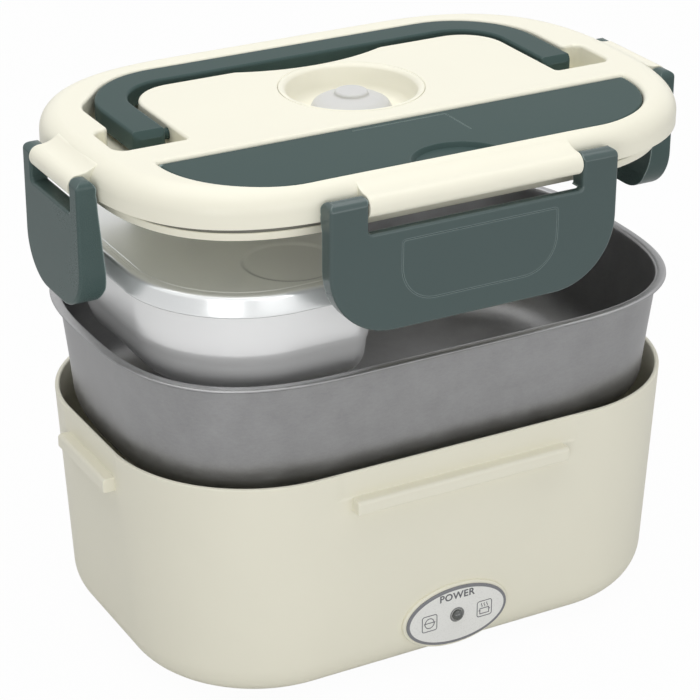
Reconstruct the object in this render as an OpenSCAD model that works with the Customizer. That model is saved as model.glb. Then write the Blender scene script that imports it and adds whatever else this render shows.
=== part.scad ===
/* [Base] */
// Length of the base at its rim
base_l = 234.4; // [234:0.2:250]
// Width of the base at its rim
base_w = 156; // [155:0.5:164]
// Corner radius of the base at its rim
base_r = 57; // [52:1:57]
// Height of the base's rim above the surface it stands on
base_h = 96; // [96:1:110]
// Wall of the base's shell
base_wall = 2.4; // [2.2:0.1:2.8]
// Wall of the base's rim
rim_wall = 1.8; // [1.6:0.1:1.8]
// How much each long end leans in from rim to floor
base_draft_x = 5.8; // [4:0.1:6.2]
// How much each long side leans in from rim to floor
base_draft_y = 2.6; // [1:0.1:3.5]
// Radius of the rounded lower edge
base_fillet = 15; // [13:1:16]
// Width of the flat ring inside the rounded lower edge
foot_ring = 4; // [3:0.5:5]
// Thickness of the bottom cover
cover_t = 1.4; // [1.2:0.1:2]
// Thickness of the rubber feet
foot_h = 1; // [1:0.1:3]
// Radius of the rubber feet
foot_r = 6.5; // [5:0.5:7]
// Length of the front and back latch ribs
rib_l = 92; // [70:1:94]
// Length of the end latch ribs
rib_end_l = 43; // [30:1:44]
// How far the front and back ribs stand out
rib_out = 4.5; // [3.5:0.1:4.6]
// How far the end ribs stand out
rib_end_out = 4; // [3:0.1:4.2]
// Height of the ribs
rib_h = 5.9; // [4:0.1:6.4]
// Depth of the ribs' upper edge below the rim
rib_drop = 10.6; // [10:0.2:13]
// Width of the shallow panels above the front and back ribs
panel_l = 102; // [98:1:110]
// Width of the shallow panels above the end ribs
panel_end_l = 46; // [45:1:50]
// Depth of the shallow panels at the rim
panel_d = 0.4; // [0.2:0.1:0.6]

/* [Badge] */
// Width of the oval badge
badge_l = 44.6; // [40:0.2:48]
// Height of the oval badge
badge_h = 24.6; // [22:0.2:25]
// Thickness of the badge
badge_t = 0.6; // [0.4:0.1:1]
// Border of the raised oval pad round the badge
badge_border = 1.2; // [0.6:0.1:1.6]
// Height of the badge's centre
badge_z = 22.4; // [22:0.2:23]
// How far the pad stands out of the base's side
badge_out = 1.6; // [1.2:0.1:2.4]
// Radius of the indicator lamp
lamp_r = 2.3; // [1.5:0.1:2.6]

/* [Heater] */
// Length of the heating plate
plate_l = 140; // [134:1:150]
// Width of the heating plate
plate_w = 90; // [84:1:94]
// Thickness of the heating plate
plate_t = 2.6; // [2.4:0.1:2.8]
// Thickness of the deck that carries the heating plate
deck_t = 2; // [1.8:0.1:2.4]
// Length of the window in the deck
window_l = 96; // [84:1:100]
// Width of the window in the deck
window_w = 56; // [52:1:58]
// Length of the heating element
element_l = 50; // [36:1:52]
// Width of the heating element
element_w = 22; // [16:1:24]
// Thickness of the heating element
element_t = 5; // [4:0.5:6]
// Depth of the heat shield below the deck
shield_d = 11; // [11:0.5:12]
// Radius of the thermostat
thermostat_r = 6.5; // [5:0.5:7]
// Radius of the screws
screw_r = 1.5; // [1.2:0.1:1.6]
// Radius of the screws' heads
head_r = 2.8; // [2.4:0.1:3]
// Radius of the posts that take the screws
post_r = 3.8; // [3.2:0.1:4]

/* [Inlet] */
// Width of the power inlet's body
inlet_w = 24; // [22:1:28]
// Height of the power inlet's body
inlet_h = 14; // [13:0.5:14.5]
// Depth of the power inlet's body
inlet_d = 16; // [15:1:18]
// Height of the inlet's centre
inlet_z = 25; // [25:0.5:26]
// Distance between the inlet's pins
pin_gap = 8.6; // [8:0.1:9]
// Radius of the inlet's pins
pin_r = 1.2; // [0.9:0.1:1.3]

/* [Tray] */
// How far the tray's rim reaches past the base's rim
rim_over = 1.2; // [1:0.1:1.3]
// Depth of the steel tray
tray_d = 56; // [53:1:57]
// Thickness of the steel
steel_t = 0.5; // [0.4:0.05:0.6]
// Width of the tray's rim
tray_rim = 3.4; // [3.3:0.05:3.5]
// Thickness of the tray's rolled rim
tray_rim_t = 1.4; // [1.2:0.1:1.6]
// How much the tray's side leans in
tray_lean = 3.5; // [3:0.5:5]
// Radius of the tray's lower edge
tray_fillet = 18; // [16:1:20]
// How far the tray is shown lifted out of the base
tray_up = 38.4; // [20:0.1:60]

/* [Insert] */
// Length of the small food box over its cover
insert_l = 83; // [70:1:88]
// Width of the small food box over its cover
insert_w = 132; // [122:1:134]
// Height of the small food box with its cover
insert_h = 43.3; // [38:0.1:44]
// Radius of its corners at the round end
insert_r = 46; // [42:1:48]
// Radius of its corners at the flat end
insert_r2 = 12; // [9:1:16]
// Wall of the small food box
insert_wall = 1.6; // [1.2:0.1:1.8]
// Height of the rounded part of its sides
insert_fold = 21; // [16:1:24]
// Width of its rounded lower edge
insert_fillet = 14; // [12:1:15]
// Height of the cover's skirt
insert_skirt = 8; // [6:0.5:10]
// Centre of the small food box along the tray
insert_x = -66.5; // [-66.5:0.1:-50]
// How far the small food box is shown lifted out of the tray
insert_up = 43.3; // [30:0.1:60]

/* [Lid] */
// Height of the lid's skirt
lid_h = 13.7; // [13.6:0.1:16]
// How far the lid reaches past the tray's rim at the ends
lid_over = 1.6; // [1.5:0.1:1.8]
// Radius of the lid's upper edge
lid_fillet = 8.7; // [7:0.1:9]
// Thickness of the lid's top
lid_t = 2.2; // [2:0.1:2.6]
// Wall of the lid's skirt
lid_wall = 2.4; // [2.2:0.1:2.4]
// Distance from the skirt's face to the plug's face
plug_in = 6.3; // [6.2:0.05:6.8]
// How far the plug reaches below the skirt
plug_d = 7; // [6.8:0.1:7.5]
// Wall and floor of the plug
plug_wall = 1.8; // [1.4:0.1:1.8]
// How far the gasket stands proud below the skirt
gasket_out = 0.2; // [0.2:0.05:0.5]
// Gap between parts that rest on each other
seat_gap = 0.2; // [0.2:0.05:0.4]
// How far the lid is shown raised above its closed place
lid_up = 17.35; // [10:0.05:60]

/* [Steam valve] */
// Radius of the bowl round the steam valve
bowl_r = 25.8; // [24:0.2:26]
// Radius of the bowl's floor
bowl_floor_r = 19.5; // [18:0.5:21]
// Depth of the bowl
bowl_d = 10.5; // [9.5:0.5:10.5]
// Place of the steam valve along the lid's width
valve_y = 7.6; // [6:0.2:7.6]
// Radius of the valve's dome
dome_r = 15.8; // [13:0.2:16.4]
// Radius of the valve's knob
knob_r = 6.5; // [5:0.1:7]
// Radius of the valve's stem
stem_r = 4.9; // [4:0.1:5.2]
// Travel of the valve
valve_travel = 3; // [2:0.5:3]

/* [Handle] */
// Width of the handle, over its legs
handle_l = 189; // [184:1:189]
// Width of each leg
leg_w = 13; // [11:0.2:13]
// Width of the grip
grip_w = 13.5; // [11:0.2:13.5]
// Where the grip's outer edge lies along the lid's width
grip_y = 62.5; // [61:0.5:62.5]
// Radius of the handle's outer corners
handle_r = 35; // [32:1:36]
// Radius of the handle's inner corners
handle_r2 = 20; // [18:1:22]
// Thickness of the handle
handle_t = 8; // [7:0.5:8]
// Bevel of the legs' ends
leg_bevel = 1.8; // [1.6:0.1:2.2]
// Where the legs end along the lid's width
leg_y = -1.5; // [-1.5:0.1:-0.5]
// Distance of the handle's hinge from the legs' ends
leg_hinge = 5.5; // [4.5:0.1:5.6]
// Radius of the handle's pins
hinge_pin_r = 2; // [1.6:0.1:2.2]
// Depth of the groove that the handle lies in
groove_d = 10.5; // [10.4:0.1:11]

/* [Latches] */
// Width of the front and back latches
latch_l = 119; // [112:1:120]
// Width of the end latches
latch_end_l = 50; // [48:1:52]
// Length of the bar that carries a front or back latch
bar_l = 88; // [84:1:90]
// Length of the bar that carries an end latch
bar_end_l = 35; // [33:1:36]
// Radius of the bars
bar_r = 4.2; // [4:0.1:4.4]
// Radius of the latches' upper ends
latch_r = 3.9; // [3.7:0.1:4]
// Height of the latches below their hinge
latch_h = 48.2; // [44:0.2:50]
// Height of the latches' hinge above the skirt's edge
hinge_up = 4.95; // [4.6:0.05:5.2]
// Depth of the gap between a bar and its latch, below the hinge
slot_d = 9.6; // [8:0.2:10.5]
// Radius of the latches' pins
trunnion_r = 1.6; // [1.2:0.1:1.8]
// Radius of the front and back latches' lower corners
latch_corner = 26; // [20:1:28]
// Radius of the end latches' lower corners
latch_end_corner = 18; // [12:1:20]
// Rounding of the latches' outer edges
latch_round = 2.4; // [1.5:0.1:2.8]
// Running clearance of pins in their holes
run_gap = 0.05; // [0.03:0.01:0.08]

/* [Cutlery] */
// Length of the cutlery compartment's cover
cutlery_l = 197; // [190:1:198]
// Width of the cutlery compartment's cover
cutlery_w = 41; // [38:0.5:41]
// Where the cover's straight edge lies along the lid's width
cutlery_y = -30; // [-30:0.5:-29]
// Radius of the cover's round corners
cutlery_r = 39.5; // [36:0.5:40]
// Thickness of the cutlery cover
cutlery_t = 2.6; // [2.4:0.1:3]
// Depth of the cover's top below the lid's top
cutlery_drop = 1; // [0.8:0.1:1.2]
// Wall of the cutlery tub
tub_wall = 1.4; // [1:0.1:1.6]
// Length of the spoon and the fork
cutlery_len = 150; // [146:1:152]

/* [Hidden] */
$fn = 48;
corner_n = 9;
round_n = 6;
cut = 1;
fit = 0.3;
pocket_gap = 1.2;
latch_top = 3;
bite = 1.5;
bore_end = 0.2;
edge = 0.5;
tray_e = 2.84;
lid_e = 2.68;
soft_e = 2;
shell_z = foot_h + cover_t;
rim_a = base_l / 2;
rim_b = base_w / 2;
tray_a = rim_a + rim_over;
tray_b = rim_b + rim_over / 3;
lid_a = tray_a + lid_over;
lid_b = tray_b - 0.4;
tray_top0 = base_h + seat_gap + tray_rim_t;
tray_z0 = tray_top0 - tray_d;
plate_z = tray_z0 - seat_gap - plate_t;
deck_z = plate_z - deck_t;
tray_z = tray_z0 + tray_up;
insert_z = tray_z + steel_t + seat_gap + insert_up;
insert_top = insert_z + insert_h;
lid_z0 = tray_top0 + seat_gap + gasket_out;
lid_z = lid_z0 + tray_up + insert_up + lid_up;
lid_top = lid_z + lid_h;
hinge_z = lid_z + hinge_up;
hinge_out = latch_r + 0.2;
hinge_x = lid_a + hinge_out;
hinge_y = lid_b + hinge_out;
hook_drop = lid_z0 + hinge_up - (base_h - rib_drop - rib_h) + fit;
latch_back_y = tray_b + 0.9;
latch_back_x = tray_a + 0.9;
deck_lean = (base_h - deck_z) / (base_h - shell_z);
deck_a = rim_a - base_draft_x * deck_lean - base_wall - fit;
deck_b = rim_b - base_draft_y * deck_lean - base_wall - fit;
deck_r = base_r - (base_draft_x + base_draft_y) / 2 * deck_lean - base_wall - fit;
ledge_low = shell_z + base_fillet + 2.6;
ledge_x = 40;
ledge_y = 12;
ledge_t = 2;
ledge_in = 6;
ledge_bite = fit + 0.7;
cover_inset = base_fillet - 1;
ring_inset = base_fillet + foot_ring;
cover_a = rim_a - base_draft_x - cover_inset;
cover_b = rim_b - base_draft_y - cover_inset;
cover_r = base_r - cover_inset;
post_x = 52;
post_y = cover_b - 11.4;
foot_x = cover_a - 19.4;
foot_y = cover_b - 19.4;
clamp_x = plate_l / 2 - 9;
clamp_y = plate_w / 2 - 9;
shield_a = clamp_x + 7;
shield_b = clamp_y + 6;
shield_wall = 1;
pan_a = window_l / 2 + 5;
pan_b = window_w / 2 + 3;
element_z = plate_z - element_t;
strip_t = 1.6;
strip_w = 12;
strip_y = element_w / 2 + 0.5;
strip_end = element_w / 2 + 11;
strap_screw_y = element_w / 2 + 7;
lead_x = 12;
lead_r = 1.1;
lead_drop = 8;
lead_bend_y = 46;
lead_low_y = 26;
lead_hole_x = 10.4;
lead_hole_r = 2.6;
thin_x = 9;
thin_drop = 9.5;
thin_hole_r = 1.8;
sensor_x = 36;
wall_y = rim_b - base_draft_y * (base_h - badge_z) / (base_h - shell_z);
pad_y = wall_y + badge_out;
inlet_y = wall_y + badge_out;
board_y = pad_y - 11.4;
board_t = 1.6;
board_l = 30;
board_h = 14;
board_screw_x = 11;
board_screw_r = 1;
lead_start_y = inlet_y - inlet_d - 4;
lead_wall_z = inlet_z + (plate_z - lead_drop - inlet_z) * (lead_bend_y - pan_b)
    / (lead_bend_y - lead_low_y);
thin_r = 0.6;
sleeve_r = bowl_r + 3.6;
cup_r = bowl_r + 2.2;
cup_body_r = bowl_r + 0.9;
cup_t = 1.4;
cup_flange = 1.8;
bowl_z = lid_top - bowl_d;
scoop_y = valve_y + cup_r + 1.6;
groove_out = 100;
groove_corner = 20.5;
groove_front = -14;
groove_in = handle_l / 2 - leg_w - 2.5;
groove_back = grip_y - grip_w - 5.5;
groove_r2 = 18;
notch_x = 107;
notch_front = -12;
notch_back = 9;
groove_wall = 1.6;
handle_z = lid_top - handle_t;
leg_hinge_y = leg_y + leg_hinge;
leg_hinge_z = lid_top - 4;
cutlery_z = lid_top - cutlery_drop - cutlery_t;
bay_in = 3.8;
bay_wall = 1.4;
knuckle_r = cutlery_t / 2;
knuckle_y = cutlery_y - knuckle_r;
tub_z = lid_top - 16.8;
tub_flange = 1.4;
tub_top = cutlery_z - 0.15;
ledge_z = tub_top - tub_flange;
pin_len = 2.5;
cover_pin_r = 0.8;
utensil_z = tub_z + tub_wall;
spoon_in = 25.5;
fork_in = 14;
lid_post_x = 58;
lid_post_y = [-5, 30];
dish_x = 14.5;
dish_y = 41;
dish_r = 18;
dish_d = 0.6;

// Outline of a plan with half sizes a and b, corner radii on the left and right, and exponent e
function quarter(a, b, r, e) = [for (i = [0:corner_n]) let (t = 90 * i / corner_n)
    [a - r + r * pow(cos(t), 2 / e), b - r + r * pow(sin(t), 2 / e)]];
function flip(p) = [for (i = [len(p) - 1:-1:0]) p[i]];
function outline(a, b, rl, rr, e) = let (
    q = quarter(a, b, min(rr, b - 0.3), e),
    s = quarter(a, b, min(rl, b - 0.3), e))
    concat(q, flip([for (p = s) [-p[0], p[1]]]), [for (p = s) [-p[0], -p[1]]],
        flip([for (p = q) [p[0], -p[1]]]));

// One level of a loft: the outline drawn in by dx and dy at height z
function level(a, b, rl, rr, dx, dy, z) =
    [a - dx, b - dy, rl - (dx + dy) / 2, rr - (dx + dy) / 2, z];

// Surface through a list of levels, closed by flat ends, or closed on itself as a ring
module loft(levels, e, ring = false) {
    rows = [for (v = levels) [for (p = outline(v[0], v[1], v[2], v[3], e)) [p[0], p[1], v[4]]]];
    m = len(rows[0]);
    k = len(rows);
    points = [for (row = rows) for (p = row) p];
    last = ring ? k - 1 : k - 2;
    sides = [for (i = [0:last]) for (j = [0:m - 1]) let (
        a0 = i * m + j, a1 = i * m + (j + 1) % m,
        b0 = ((i + 1) % k) * m + j, b1 = ((i + 1) % k) * m + (j + 1) % m)
        each [[a0, b0, b1], [a0, b1, a1]]];
    ends = ring ? [] : [[for (j = [0:m - 1]) j], [for (j = [m - 1:-1:0]) (k - 1) * m + j]];
    polyhedron(points, concat(sides, ends), convexity = 6);
}

module plan(a, b, r) {
    square([2 * a - 2 * r, 2 * b], center = true);
    square([2 * a, 2 * b - 2 * r], center = true);
    for (x = [-1, 1]) for (y = [-1, 1]) translate([x * (a - r), y * (b - r)]) circle(r);
}

module slab(a, b, r, h) {
    linear_extrude(h) plan(a, b, r);
}

module four(x, y) {
    for (i = [-1, 1]) for (j = [-1, 1]) translate([i * x, j * y, 0]) children();
}

module mirrored() {
    children();
    mirror([1, 0, 0]) children();
}

// A bar of round section along X, centred
module round_bar(r, l) {
    rotate([0, 90, 0]) cylinder(h = l, r = r, center = true);
}

// A round rod through a list of points
module rod(points, r) {
    for (i = [0:len(points) - 2]) {
        v = points[i + 1] - points[i];
        l = norm(v);
        translate(points[i]) rotate([0, acos(v[2] / l), atan2(v[1], v[0])]) cylinder(h = l, r = r);
    }
    for (i = [1:len(points) - 2]) translate(points[i]) sphere(r * 1.03);
}

module screw(shaft, head) {
    translate([0, 0, -head]) cylinder(h = head, r = head_r);
    translate([0, 0, -head / 2]) cylinder(h = shaft + head / 2, r = screw_r);
}

// Level of the base: drawn in by d at height z, with the sides' lean
function base_level(d, z) = let (lean = (base_h - z) / (base_h - shell_z))
    level(rim_a, rim_b, base_r, base_r, base_draft_x * lean + d, base_draft_y * lean + d, z);

module base_body() {
    inner_r = base_fillet - base_wall;
    loft(concat(
        [base_level(ring_inset, shell_z)],
        [for (i = [0:round_n]) let (t = 90 * i / round_n)
            base_level(base_fillet * (1 - sin(t)), shell_z + base_fillet * (1 - cos(t)))],
        [base_level(0, base_h - edge), base_level(edge, base_h)],
        [base_level(rim_wall - edge, base_h), base_level(rim_wall, base_h - edge)],
        [base_level(rim_wall, base_h - 12), base_level(base_wall, base_h - 14)],
        [for (i = [round_n:-1:0]) let (t = 90 * i / round_n)
            base_level(base_wall + inner_r * (1 - sin(t)),
                shell_z + base_wall + inner_r * (1 - cos(t)))],
        [base_level(ring_inset, shell_z + base_wall)]), soft_e, true);
}

// Ribs inside the shell that carry the heater's deck
module ledge_ribs() {
    h = deck_z - ledge_low;
    for (s = [0, 180]) rotate([0, 0, s]) {
        for (x = [-1, 1]) translate([x * ledge_x - ledge_t / 2, deck_b - ledge_in, ledge_low])
            cube([ledge_t, ledge_in + ledge_bite, h]);
        for (y = [-1, 1]) translate([deck_a - ledge_in, y * ledge_y - ledge_t / 2, ledge_low])
            cube([ledge_in + ledge_bite, ledge_t, h]);
    }
}

module rib(out, l) {
    profile = [[-2.6, -rib_h], [out - 0.9, -rib_h], [out, 0.9 - rib_h], [out, -1.6],
        [out - 1.2, -0.4], [-2.6, 0]];
    rotate([90, 0, 90]) linear_extrude(l, center = true) polygon(profile);
}

module oval(a, b, h) {
    rotate([90, 0, 0]) linear_extrude(h)
        polygon([for (i = [0:47]) [a * cos(i * 7.5), b * sin(i * 7.5)]]);
}

module base_shell() {
    rib_z = base_h - rib_drop;
    color("#e9e5cf") difference() {
        union() {
            base_body();
            ledge_ribs();
            for (s = [0, 180]) rotate([0, 0, s]) {
                translate([0, rim_b, rib_z]) rib(rib_out, rib_l);
                rotate([0, 0, -90]) translate([0, rim_a, rib_z]) rib(rib_end_out, rib_end_l);
            }
            translate([0, 3 - pad_y, badge_z])
                oval(badge_l / 2 + badge_border, badge_h / 2 + badge_border, 3);
            translate([0, inlet_y, inlet_z]) rotate([90, 0, 0])
                slab(inlet_w / 2 + 4, inlet_h / 2 + 2.5, 4, 5);
            for (x = [-1, 1]) translate([x * board_screw_x, 2 - pad_y, badge_z]) rotate([-90, 0, 0])
                cylinder(h = pad_y - 2 - board_y, r = 2.4);
        }
        for (s = [0, 180]) rotate([0, 0, s]) {
            translate([-panel_l / 2, rim_b - panel_d, rib_z])
                cube([panel_l, rib_out, rib_drop + cut]);
            translate([rim_a - panel_d - 0.1, -panel_end_l / 2, rib_z])
                cube([rib_out, panel_end_l, rib_drop + cut]);
        }
        translate([0, cut - pad_y, badge_z]) rotate([-90, 0, 0]) translate([0, 0, -2 * cut])
            cylinder(h = 10, r = lamp_r + run_gap);
        translate([0, inlet_y + cut, inlet_z]) rotate([90, 0, 0])
            slab(inlet_w / 2 + run_gap, inlet_h / 2 + run_gap, 3, 12);
        for (x = [-1, 1]) translate([x * board_screw_x, 4 - pad_y, badge_z]) rotate([-90, 0, 0])
            cylinder(h = 14, r = board_screw_r);
    }
}

module heater_deck() {
    color("#dedac4") difference() {
        union() {
            translate([0, 0, deck_z]) slab(deck_a, deck_b, deck_r, deck_t);
            four(post_x, post_y) translate([0, 0, shell_z]) cylinder(h = deck_z - shell_z + cut, r = post_r);
        }
        translate([0, 0, deck_z - cut]) slab(window_l / 2, window_w / 2, 6, deck_t + 2 * cut);
        four(clamp_x, clamp_y) translate([0, 0, deck_z - cut])
            cylinder(h = deck_t + 2 * cut, r = screw_r + run_gap);
        four(post_x, post_y) translate([0, 0, shell_z - cut])
            cylinder(h = 12 + cut, r = screw_r + run_gap);
    }
}

module badge() {
    color("#e6e6e2") difference() {
        translate([0, -pad_y, badge_z]) oval(badge_l / 2, badge_h / 2, badge_t);
        translate([0, cut - pad_y, badge_z]) rotate([90, 0, 0]) cylinder(h = 3, r = lamp_r + run_gap);
    }
}

module lamp() {
    front = pad_y + badge_t;
    color("#505250") translate([0, -front, badge_z]) {
        sphere(lamp_r * 0.98);
        rotate([-90, 0, 0]) cylinder(h = front - board_y, r = lamp_r);
    }
}

module lamp_board() {
    color("#2f6b46") difference() {
        translate([-board_l / 2, -board_y, badge_z - board_h / 2]) cube([board_l, board_t, board_h]);
        for (x = [-1, 1]) translate([x * board_screw_x, cut - board_y + board_t, badge_z])
            rotate([90, 0, 0]) cylinder(h = board_t + 2 * cut, r = board_screw_r + run_gap);
    }
}

module board_screws() {
    color("#b9bdc1") for (x = [-1, 1]) translate([x * board_screw_x, board_t - board_y, badge_z]) {
        rotate([-90, 0, 0]) cylinder(h = 1.2, r = 2.2);
        rotate([90, 0, 0]) cylinder(h = 6, r = board_screw_r);
    }
}

module lamp_leads() {
    start = board_t - board_y;
    color("#c9c2b4") for (x = [-1, 1]) rod([[x * 3, start, badge_z - 3], [x * 3, -46, badge_z],
        [x * thin_x, -30, plate_z - thin_drop], [x * thin_x, -15, element_z + 2],
        [x * thin_x, -element_w / 2, element_z + 2]], thin_r);
}

module heating_plate() {
    color("#b4b7ba") difference() {
        translate([0, 0, plate_z]) slab(plate_l / 2, plate_w / 2, 10, plate_t);
        four(clamp_x, clamp_y) translate([0, 0, plate_z - cut])
            cylinder(h = bite + bore_end + cut, r = screw_r + run_gap);
        for (y = [-1, 1]) translate([0, y * strap_screw_y, plate_z - cut])
            cylinder(h = bite + bore_end + cut, r = screw_r + run_gap);
    }
}

module heater_element() {
    color("#d6d0c0") translate([-element_l / 2, -element_w / 2, element_z])
        cube([element_l, element_w, element_t]);
}

module element_strap() {
    low = element_z - strip_t;
    color("#9da1a5") difference() {
        union() {
            translate([-strip_w / 2, -strip_y - strip_t, low])
                cube([strip_w, 2 * strip_y + 2 * strip_t, strip_t]);
            for (y = [-1, 1]) {
                translate([-strip_w / 2, y * (strip_y + strip_t / 2) - strip_t / 2, low])
                    cube([strip_w, strip_t, plate_z - low]);
                translate([-strip_w / 2, y * (strip_y + strip_end) / 2 - (strip_end - strip_y) / 2,
                    plate_z - strip_t]) cube([strip_w, strip_end - strip_y, strip_t]);
            }
        }
        for (y = [-1, 1]) translate([0, y * strap_screw_y, plate_z - strip_t - cut])
            cylinder(h = strip_t + 2 * cut, r = screw_r + run_gap);
    }
}

module strap_screws() {
    color("#b9bdc1") for (y = [-1, 1]) translate([0, y * strap_screw_y, plate_z - strip_t])
        screw(strip_t + bite, 1.2);
}

module thermostat() {
    color("#3c3c3e") translate([sensor_x, 0, plate_z]) {
        translate([0, 0, -2]) cylinder(h = 2, r = thermostat_r);
        translate([0, 0, -6]) cylinder(h = 5, r = thermostat_r - 1.2);
        for (y = [-1, 1]) translate([-2, y * 2.8 - 0.4, -8]) cube([4, 0.8, 3]);
    }
}

module thermal_fuse() {
    color("#c8b070") translate([-sensor_x, 0, plate_z]) {
        translate([-3, -4, -0.8]) cube([6, 8, 0.8]);
        translate([0, 0, -2.4]) rotate([90, 0, 0]) cylinder(h = 11, r = 1.9, center = true);
        translate([0, 0, -2.4]) rotate([90, 0, 0]) cylinder(h = 22, r = thin_r, center = true);
    }
}

module heat_shield() {
    color("#a9adb1") difference() {
        translate([0, 0, deck_z - shield_d]) {
            slab(pan_a, pan_b, 7, shield_d);
            translate([0, 0, shield_d - shield_wall]) slab(shield_a, shield_b, 8, shield_wall);
        }
        translate([0, 0, deck_z - shield_d + shield_wall])
            slab(pan_a - shield_wall, pan_b - shield_wall, 6, shield_d);
        four(clamp_x, clamp_y) translate([0, 0, deck_z - shield_wall - cut])
            cylinder(h = shield_wall + 2 * cut, r = screw_r + run_gap);
        for (x = [-1, 1]) {
            translate([x * lead_hole_x, pan_b + 2, lead_wall_z]) rotate([90, 0, 0])
                cylinder(h = 5, r = lead_hole_r);
            translate([x * thin_x, 3 - pan_b, plate_z - thin_drop]) rotate([90, 0, 0])
                cylinder(h = 5, r = thin_hole_r);
        }
    }
}

module plate_screws() {
    color("#b9bdc1") four(clamp_x, clamp_y) translate([0, 0, deck_z - shield_wall])
        screw(shield_wall + deck_t + bite, 1.2);
}

module power_inlet() {
    color("#2b2c2e") translate([0, inlet_y, inlet_z]) rotate([90, 0, 0]) difference() {
        union() {
            slab(inlet_w / 2, inlet_h / 2, 3, inlet_d);
            translate([0, 0, -1.6]) slab(inlet_w / 2 + 3, inlet_h / 2 + 2, 4, 1.6);
        }
        translate([0, 0, -1.6 - cut]) slab(9.6, 4.8, 4.7, 13 + cut);
        for (x = [-1, 1]) translate([x * pin_gap / 2, 0, 0]) cylinder(h = inlet_d + cut, r = pin_r);
    }
}

module inlet_pins() {
    color("#c3a45a") for (x = [-1, 1]) translate([x * pin_gap / 2, inlet_y - 1, inlet_z])
        rotate([90, 0, 0]) cylinder(h = inlet_d + 3, r = pin_r);
}

module heater_leads() {
    color("#d9d4c8") for (x = [-1, 1]) rod([[x * pin_gap / 2, lead_start_y, inlet_z],
        [x * pin_gap / 2, lead_bend_y, inlet_z], [x * lead_x, lead_low_y, plate_z - lead_drop],
        [x * lead_x, element_w / 2 + 3, element_z + 2.4],
        [x * lead_x, element_w / 2, element_z + 2.4]], lead_r);
}

module bottom_cover() {
    color("#8d8c80") difference() {
        translate([0, 0, foot_h]) slab(cover_a, cover_b, cover_r, cover_t);
        four(post_x, post_y) translate([0, 0, foot_h - cut])
            cylinder(h = cover_t + 2 * cut, r = screw_r + run_gap);
        for (x = [-4:4]) translate([x * 8 - 1.2, -12, foot_h - cut]) cube([2.4, 24, cover_t + 2 * cut]);
    }
}

module cover_screws() {
    color("#b9bdc1") four(post_x, post_y) translate([0, 0, foot_h]) screw(cover_t + 9, 0.8);
}

module feet() {
    color("#4a4a48") four(foot_x, foot_y) cylinder(h = foot_h, r = foot_r);
}

// Level of the tray: drawn in by d, z above the tray's bottom
function tray_level(d, z) = level(tray_a, tray_b, tray_b, tray_b, d, d, tray_z + z);

module tray() {
    side = tray_rim + tray_lean;
    low = tray_fillet;
    neck = tray_d - 10;
    in_r = tray_fillet - steel_t;
    color("#a3a4a5") loft(concat(
        [for (i = [0:round_n]) let (t = 90 * i / round_n)
            tray_level(side + low * (1 - sin(t)), low * (1 - cos(t)))],
        [tray_level(tray_rim + 0.7, neck), tray_level(tray_rim, tray_d - tray_rim_t)],
        [tray_level(edge, tray_d - tray_rim_t), tray_level(0, tray_d - 1)],
        [tray_level(0, tray_d - 0.4), tray_level(edge, tray_d)],
        [tray_level(tray_rim - 0.1, tray_d), tray_level(tray_rim + steel_t, tray_d - edge)],
        [tray_level(tray_rim + 0.7 + steel_t, neck)],
        [for (i = [round_n:-1:0]) let (t = 90 * i / round_n)
            tray_level(side + steel_t + in_r * (1 - sin(t)), steel_t + in_r * (1 - cos(t)))]),
        tray_e);
}

// Level of the small food box: drawn in by d at height z
function insert_level(d, z) =
    level(insert_l / 2, insert_w / 2, insert_r, insert_r2 - min(0, insert_r2 - d - 1), d, d, z);

module insert_box() {
    top = insert_top - insert_wall - seat_gap;
    body = 1.8;
    low = body + 2.2;
    fold_z = insert_z + insert_fold;
    in_w = insert_fillet - 0.4;
    in_h = insert_fold - insert_wall;
    color("#c8cccf") translate([insert_x, 0, 0]) loft(concat(
        [for (i = [0:round_n]) let (t = 90 * i / round_n)
            insert_level(low + insert_fillet * (1 - sin(t)), insert_z + insert_fold * (1 - cos(t)))],
        [insert_level(body + 1.2, fold_z + 1.4), insert_level(body, top)],
        [insert_level(body + insert_wall, top)],
        [insert_level(body + 1.2 + insert_wall, fold_z + 1.4)],
        [for (i = [round_n:-1:0]) let (t = 90 * i / round_n)
            insert_level(low + insert_wall + in_w * (1 - sin(t)),
                fold_z - in_h * cos(t))]), soft_e);
}

module insert_cover() {
    inner = insert_top - insert_wall;
    low = insert_top - insert_skirt;
    color("#dcdfe1") difference() {
        translate([insert_x, 0, 0]) loft([insert_level(1.4, inner), insert_level(0.4, low),
            insert_level(-1.1, low), insert_level(-0.1, insert_top - 1.4),
            insert_level(0.3, insert_top - 0.4), insert_level(1.2, insert_top)], soft_e);
        for (y = [-1, 1]) translate([insert_x + dish_x, y * dish_y, insert_top - dish_d])
            cylinder(h = 2, r = dish_r);
    }
}

function lid_level(d, z) = level(lid_a, lid_b, lid_b, lid_b, d, d, z);

module lid_body() {
    inner_r = lid_fillet - lid_t;
    difference() {
        loft(concat([lid_level(edge, lid_z), lid_level(0, lid_z + edge)],
            [for (i = [0:round_n]) let (t = 90 * i / round_n)
                lid_level(lid_fillet * (1 - cos(t)), lid_top - lid_fillet * (1 - sin(t)))]), lid_e);
        loft(concat([lid_level(lid_wall, lid_z - cut)],
            [for (i = [0:4]) let (t = 90 * i / 4)
                lid_level(lid_wall + inner_r * (1 - cos(t)),
                    lid_top - lid_fillet + inner_r * sin(t))]), lid_e);
    }
}

// Plan of the handle, grown by o
module handle_plan(o) {
    a = handle_l / 2 + o;
    b = grip_y + o;
    r = handle_r + o;
    translate([-a, leg_y - o]) square([2 * a, b - r - leg_y + o]);
    translate([r - a, 0]) square([2 * a - 2 * r, b]);
    for (x = [-1, 1]) translate([x * (a - r), b - r]) circle(r);
}

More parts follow.
